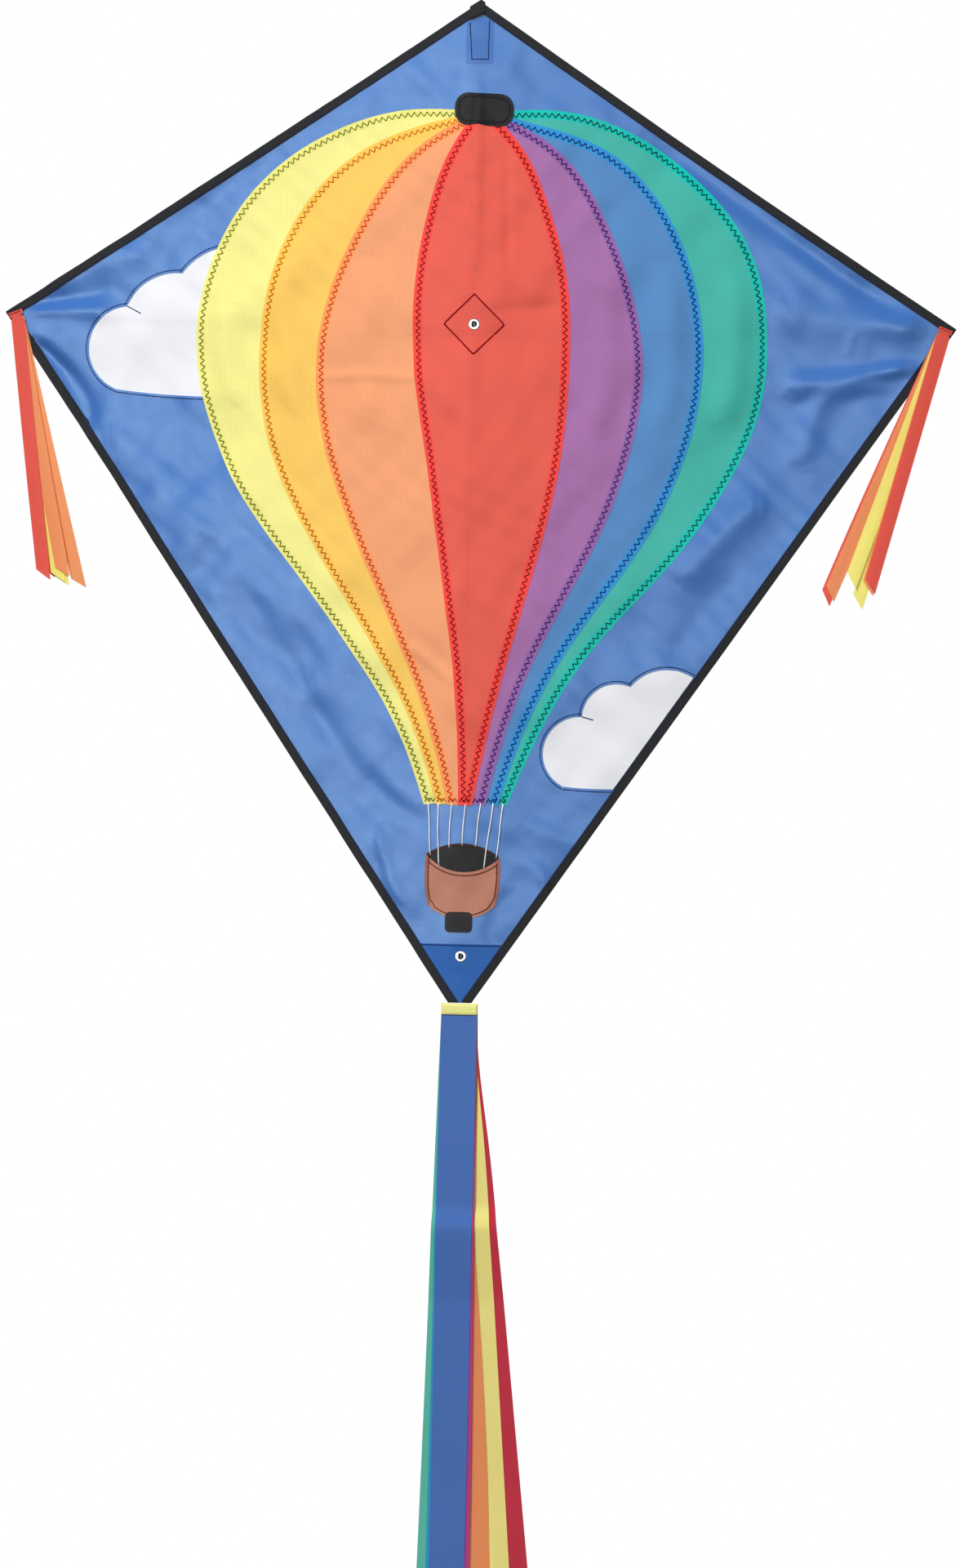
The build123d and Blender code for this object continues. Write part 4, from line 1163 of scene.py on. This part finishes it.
def ribbon_points(side, layer, origin, size, curl):
    """Grid of a ribbon hanging from its pivot, in millimetres, with its columns and rows."""
    (lean, length), (sweep, twist) = size, curl
    right, down, front = wing_frame(side, lean)
    half_width = RIBBON_WIDTH / 2
    hang = length - RIBBON_DROP
    columns = np.linspace(-1, 1, 7)
    rows = np.concatenate([np.linspace(-half_width, 0, 4)[:-1], np.linspace(0, 1, 52) * hang])
    points = []
    for row in rows:
        share = max(row, 0) / hang
        half = half_width if row >= 0 else sqrt(max(0.2, half_width ** 2 - row ** 2))
        ease = share ** 2
        turn = radians(twist) * ease
        # the slanted cut shortens the left edge, and its last rows crowd towards the end
        cut = RIBBON_CUT * (1 - columns) / 2 * share ** 6
        bow = (1.1 * sin(share * 5.5 + side) + 0.9 * layer + 1.5) * share
        bow += 0.7 * (1 - exp(-share / 0.06))
        forward = bow + 0.3 * (1 - columns ** 2) * min(1, share * 6)
        points.append(
            origin
            + down * (row - cut)[:, None]
            + right * (columns * half * cos(turn) + sweep * ease)[:, None]
            + front * (forward + columns * half * sin(turn) * 0.5)[:, None]
        )
    return np.array(points), columns * half_width, rows, down


def hem_grid(side, layer, centre):
    """Grid of one ribbon's end turned back over in the hem, in millimetres."""
    right, down, front = wing_frame(side, HEM_TILT)
    low = HEM_HEIGHT / 2 + 0.4 + (1.2 if layer == len(RIBBONS) - 1 else 0.0)
    bend = np.linspace(0.3, pi, 6)
    path = np.vstack([
        [(-low, 0.0), (-0.5, 0.02), (0.7, 0.02)],
        np.stack([HEM_HEIGHT / 2 - HEM_FOLD * (1 - np.sin(bend)), 0.12 * (1 - np.cos(bend))], 1),
        [(0.3, 0.26), (-HEM_HEIGHT / 2, 0.24)],
    ])
    columns = np.linspace(-1, 1, 9) * RIBBON_WIDTH / 2
    up, ahead = path[:, None, :1], path[:, None, 1:]
    points = centre + right * columns[None, :, None] - down * up + front * ahead
    uvs = np.stack(np.broadcast_arrays(columns, path[:, :1]), 2)
    return points.reshape(-1, 3), uvs.reshape(-1, 2) * MM, grid_faces(len(path), len(columns))


for side, side_name in SIDES:
    hem_body = f"tassel_{side_name}"
    hem_points, hem_uvs, hem_faces, hem_shades = [], [], [], []
    for layer, (colour, *sizes) in enumerate(RIBBONS):
        which = 0 if side < 0 else 1
        origin = wing_place(side, *pivot, layer_depths[layer])
        points, across, rows, down = ribbon_points(side, layer, origin, sizes[which], CURLS[layer][which])
        shade = colour.split("_")[0]
        body = f"{hem_body}_{colour}"
        ribbon = grid_object(f"{body}_ribbon", points * MM, across, rows, None, [RIBBON[shade]])
        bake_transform(ribbon)
        blank = strip_blank(RIBBON_WIDTH, rows[-1] - rows[0])
        declare(body, blank)

        # the ribbon's end is turned back over and caught by a row of stitches
        centre = wing_place(side, *HEM_CENTRE, layer_depths[layer])
        points, uvs, faces = hem_grid(side, layer, centre)
        first = len(points) * layer
        hem_points.append(points)
        hem_uvs.append(uvs)
        hem_faces.extend(tuple(first + i for i in face[::-1]) for face in faces)
        hem_shades.extend([SHADES.index(shade)] * len(faces))
    hem = new_object(
        f"tassel_hem_{side_name}_folds", np.vstack(hem_points) * MM, hem_faces, hem_body,
        [RIBBON[shade] for shade in SHADES], np.vstack(hem_uvs), hem_shades,
    )
    right, _, front = wing_frame(side, HEM_TILT)
    centre = wing_place(side, *HEM_CENTRE, layer_depths[-1] - RIBBON_PLY / 2)
    needles = np.linspace(0.6 - RIBBON_WIDTH / 2, RIBBON_WIDTH / 2 - 0.6, 6)
    steps = ((0.0, -0.05), (0.15, 0.35), (0.5, 0.45), (0.85, 0.35))
    line = [centre + right * along + front * lift for along, lift in stitch_beads(needles, steps)]
    hem_thread = sewing(
        f"tassel_hem_{side_name}_stitching", [np.array(line) * MM], 0.26,
        THREAD["red"], hem_body,
    )
    declare(
        f"tassel_hem_{side_name}", strip_blank(RIBBON_WIDTH, 6 * 6.2),
    )

# ---- tail
stack_depth = (len(STREAMERS) - 1) * STREAMER_PITCH + STREAMER_PLY
band_half = stack_depth / 2 + 0.45
band_face = band_half + 0.12
band_columns = np.linspace(-STREAMER_WIDTH / 2, STREAMER_WIDTH / 2, 17)
turn = np.linspace(0, pi, 15)
drops = (0.0, 0.8, 2.2, 4.0)
band_path = np.vstack([
    [(BAND_BOTTOM_Z + drop, -band_face) for drop in drops],
    np.stack([np.sin(turn), -np.cos(turn)], 1) * (band_half + 0.1) + (BAND_AXIS_Z, 0),
    [(BAND_BOTTOM_Z + drop, band_face) for drop in reversed(drops)],
])
band_rows = []
for z, y in band_path:
    bulge = 0.12 * np.sin(band_columns * 0.4) * (z < BAND_AXIS_Z) * np.sign(y)
    band_rows.append(np.stack([band_columns, y + bulge, np.full(len(band_columns), z)], 1))
band_along = travel(band_path)
band = grid_object(
    "tail_band_cloth", np.array(band_rows)[:, ::-1] * MM, band_columns, band_along, "tail",
    [BAND_CLOTH], 0.35,
)
band_stitch = []
needles = np.linspace(1 - STREAMER_WIDTH / 2, STREAMER_WIDTH / 2 - 1, 13)
steps = ((0.0, -0.1), (0.15, 0.22), (0.5, 0.3), (0.85, 0.22))
for ahead in (-1, 1):
    band_stitch.append(np.array([
        (along, ahead * (band_face + lift), BAND_BOTTOM_Z + 1.7)
        for along, lift in stitch_beads(needles, steps)
    ]) * MM)
band_thread = sewing(
    "tail_band_stitching", band_stitch, 0.2, THREAD["band"], "tail"
)

# how each streamer drifts sideways and turns along its length: sweep in mm, turn at its end
DRIFTS = {
    "royal_blue": (-1.5, 10), "purple": (4.0, 6), "sky_blue": (-4.5, 4), "green": (0.0, 12),
    "red": (-3.0, 12), "orange": (0.0, 14), "yellow": (0.0, 14), "crimson": (0.0, 16),
}
LEANING = 1.8


def streamer_wave(drop):
    """How far the hanging streamers stand in front of their plane at a drop below the band."""
    wave = 1.6 * np.sin(drop / 96.0 + 0.4) * np.minimum(drop / 120, 1)
    # the old packing fold, about 180 mm down, stands a little proud
    return wave + 6.0 * np.interp(drop, (150, 178, 193, 260), (0, 0, 1, 0))


def tucked_in(colour, lean, row):
    """How far a streamer stays behind the front one near the band, before it leans out."""
    if colour == "orange":
        return 6.5 * exp(-((row - 190) / 130) ** 2) * min(1.0, row / 150)
    if lean > LEANING:
        return 3.0 * exp(-((row - 50) / 60) ** 2) * min(1.0, row / 30)
    return 0.0


for layer, (colour, lean, length) in enumerate(STREAMERS):
    y = layer * STREAMER_PITCH - stack_depth / 2 + STREAMER_PLY / 2
    angle = radians(lean)
    sweep, twist = DRIFTS[colour]
    columns = np.linspace(-1, 1, 11)
    rows = np.linspace(0, 1, 150) * length
    points = []
    for row in rows:
        share = row / length
        half = STREAMER_WIDTH / 2 - max(0, STREAMER_CORNER - row)
        turn = radians(twist) * sin(share * pi / 2)
        down = row - STREAMER_CUT * (1 - columns) / 2 * share ** 12
        offset = columns * half * cos(turn) + sweep * share - tucked_in(colour, lean, row)
        ahead = streamer_wave(down) + 0.12 * columns * half * sin(turn)
        points.append(np.stack([
            sin(angle) * down + cos(angle) * offset,
            y - ahead,
            STREAMER_TOP - cos(angle) * down + sin(angle) * offset,
        ], 1))
    node = f"streamer_{colour}"
    strip = grid_object(
        f"{node}_strip", np.array(points) * MM, columns * STREAMER_WIDTH / 2, rows, None,
        [STREAMER[colour]],
    )
    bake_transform(strip)
    declare(node, strip_blank(STREAMER_WIDTH, length))
declare(
    "tail_band", strip_blank(STREAMER_WIDTH, band_along[-1]),
)

# ---- rods and fittings
for node, material in (
    ("spine", FIBREGLASS), ("spreader_left", SPREADER_GLASS), ("spreader_right", SPREADER_GLASS),
    ("centre_connector", MOULDING), ("rod_caps", VINYL), ("centre_eyelet", METAL),
    ("lower_eyelet", METAL), ("eyelet_washers", METAL),
):
    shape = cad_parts[node]
    shape.data.materials.clear()
    shape.data.materials.append(material)

# ---- studio
FLOOR_RADIUS = 3.0
FLOOR_GAP = 0.04
# the backdrop is beyond the camera in every view, and within its reach
BACKDROP_RADIUS = 46.0
WHITE = (1, 1, 1, 1)

turn = np.arange(96) * tau / 96
rim = np.stack([np.cos(turn), np.sin(turn), 0 * turn], 1) * FLOOR_RADIUS
rim[:, 2] = cad_low.z - FLOOR_GAP
nodes = Nodes("pale studio floor")
where = nodes.add("TexCoord").outputs["Object"]
spread = nodes.add("VectorMath", {"operation": "LENGTH"}, i0=where).outputs["Value"]
fade = nodes.add("MapRange", Value=spread, From_Min=1.0, From_Max=2.8).outputs[0]
shade = nodes.mix(nodes.noise(where, 30.0), (0.78, 0.78, 0.79, 1), (0.82, 0.82, 0.82, 1))
matte = nodes.add("BsdfPrincipled", Base_Color=shade, Roughness=0.7).outputs[0]
white = nodes.add("Emission", Color=WHITE, Strength=1.0).outputs[0]
floor_paint = nodes.finish(nodes.add("MixShader", i0=fade, i1=matte, i2=white).outputs[0])
floor = new_object("studio_floor", rim, [range(96)], None, [floor_paint])
floor.visible_diffuse = False
floor.visible_glossy = False

bpy.ops.mesh.primitive_uv_sphere_add(segments=64, ring_count=32, radius=BACKDROP_RADIUS)
dome = bpy.context.object
dome.name = "studio_backdrop"
nodes = Nodes("white backdrop")
dome.data.materials.append(nodes.finish(nodes.add("Emission", Color=WHITE, Strength=1.0).outputs[0]))
nodes.material.cycles.emission_sampling = "NONE"
for ray in ("diffuse", "glossy", "transmission", "shadow", "volume_scatter"):
    setattr(dome, f"visible_{ray}", False)

world = bpy.data.worlds.new("studio")
bpy.context.scene.world = world
world.use_nodes = True
sky = world.node_tree.nodes["Background"].inputs
sky["Color"].default_value = WHITE
sky["Strength"].default_value = 0.28

# Soft lights: name, place, aim, size and power. The haze ones only give the cloth its lustre.
for name, place, aim, size, power in (
    ("key softbox", (-1.6, -3.5, 3.4), (0, 0, -0.5), (1.0, 1.0), 300),
    ("fill softbox", (2.4, -3.4, -0.2), (0, 0, -0.5), (1.6, 2.2), 22),
    ("haze softbox", (-1.5, -3.6, -0.05), (0, 0, -0.3), (1.2, 1.4), 70),
    ("haze softbox right", (0.8, -3.8, -0.1), (0, 0, -0.5), (1.1, 1.2), 40),
    ("back softbox", (0.6, 3.2, 1.0), (0, 0, -0.4), (2.4, 2.4), 26),
):
    data = bpy.data.lights.new(name, "AREA")
    data.shape = "RECTANGLE"
    data.size, data.size_y = size
    data.energy = power
    lamp = linked(name, data)
    lamp.location = place
    lamp.rotation_euler = (Vector(aim) - Vector(place)).to_track_quat("-Z", "Y").to_euler()
    lamp.visible_camera = False
    lamp.visible_glossy = "haze" in name
    lamp.visible_diffuse = "haze" not in name

# ---- camera
VIEW_SIDE = radians(5.0)
VIEW_ROLL = radians(1.22)
DISTANCE = 15.0
VIEW_HEIGHT = 1.3945
SENSOR = 36.0
AIM_RIGHT = 0.01403
AIM_Z = -0.4088
upright = Vector((0, 0, 1))
level = Vector((cos(VIEW_SIDE), sin(VIEW_SIDE), 0))
backwards = Vector((sin(VIEW_SIDE), -cos(VIEW_SIDE), 0))
right = level * cos(VIEW_ROLL) + upright * sin(VIEW_ROLL)
up = upright * cos(VIEW_ROLL) - level * sin(VIEW_ROLL)
camera_data = bpy.data.cameras.new("camera")
camera_data.sensor_width = SENSOR
camera_data.lens = SENSOR * DISTANCE / VIEW_HEIGHT
camera_data.clip_end = 400.0
camera = linked("camera", camera_data)
turned = Matrix((right, up, backwards)).transposed().to_4x4()
turned.translation = level * AIM_RIGHT + upright * AIM_Z + backwards * DISTANCE
camera.matrix_world = turned
bpy.context.scene.camera = camera
bpy.context.scene.view_settings.view_transform = "Standard"
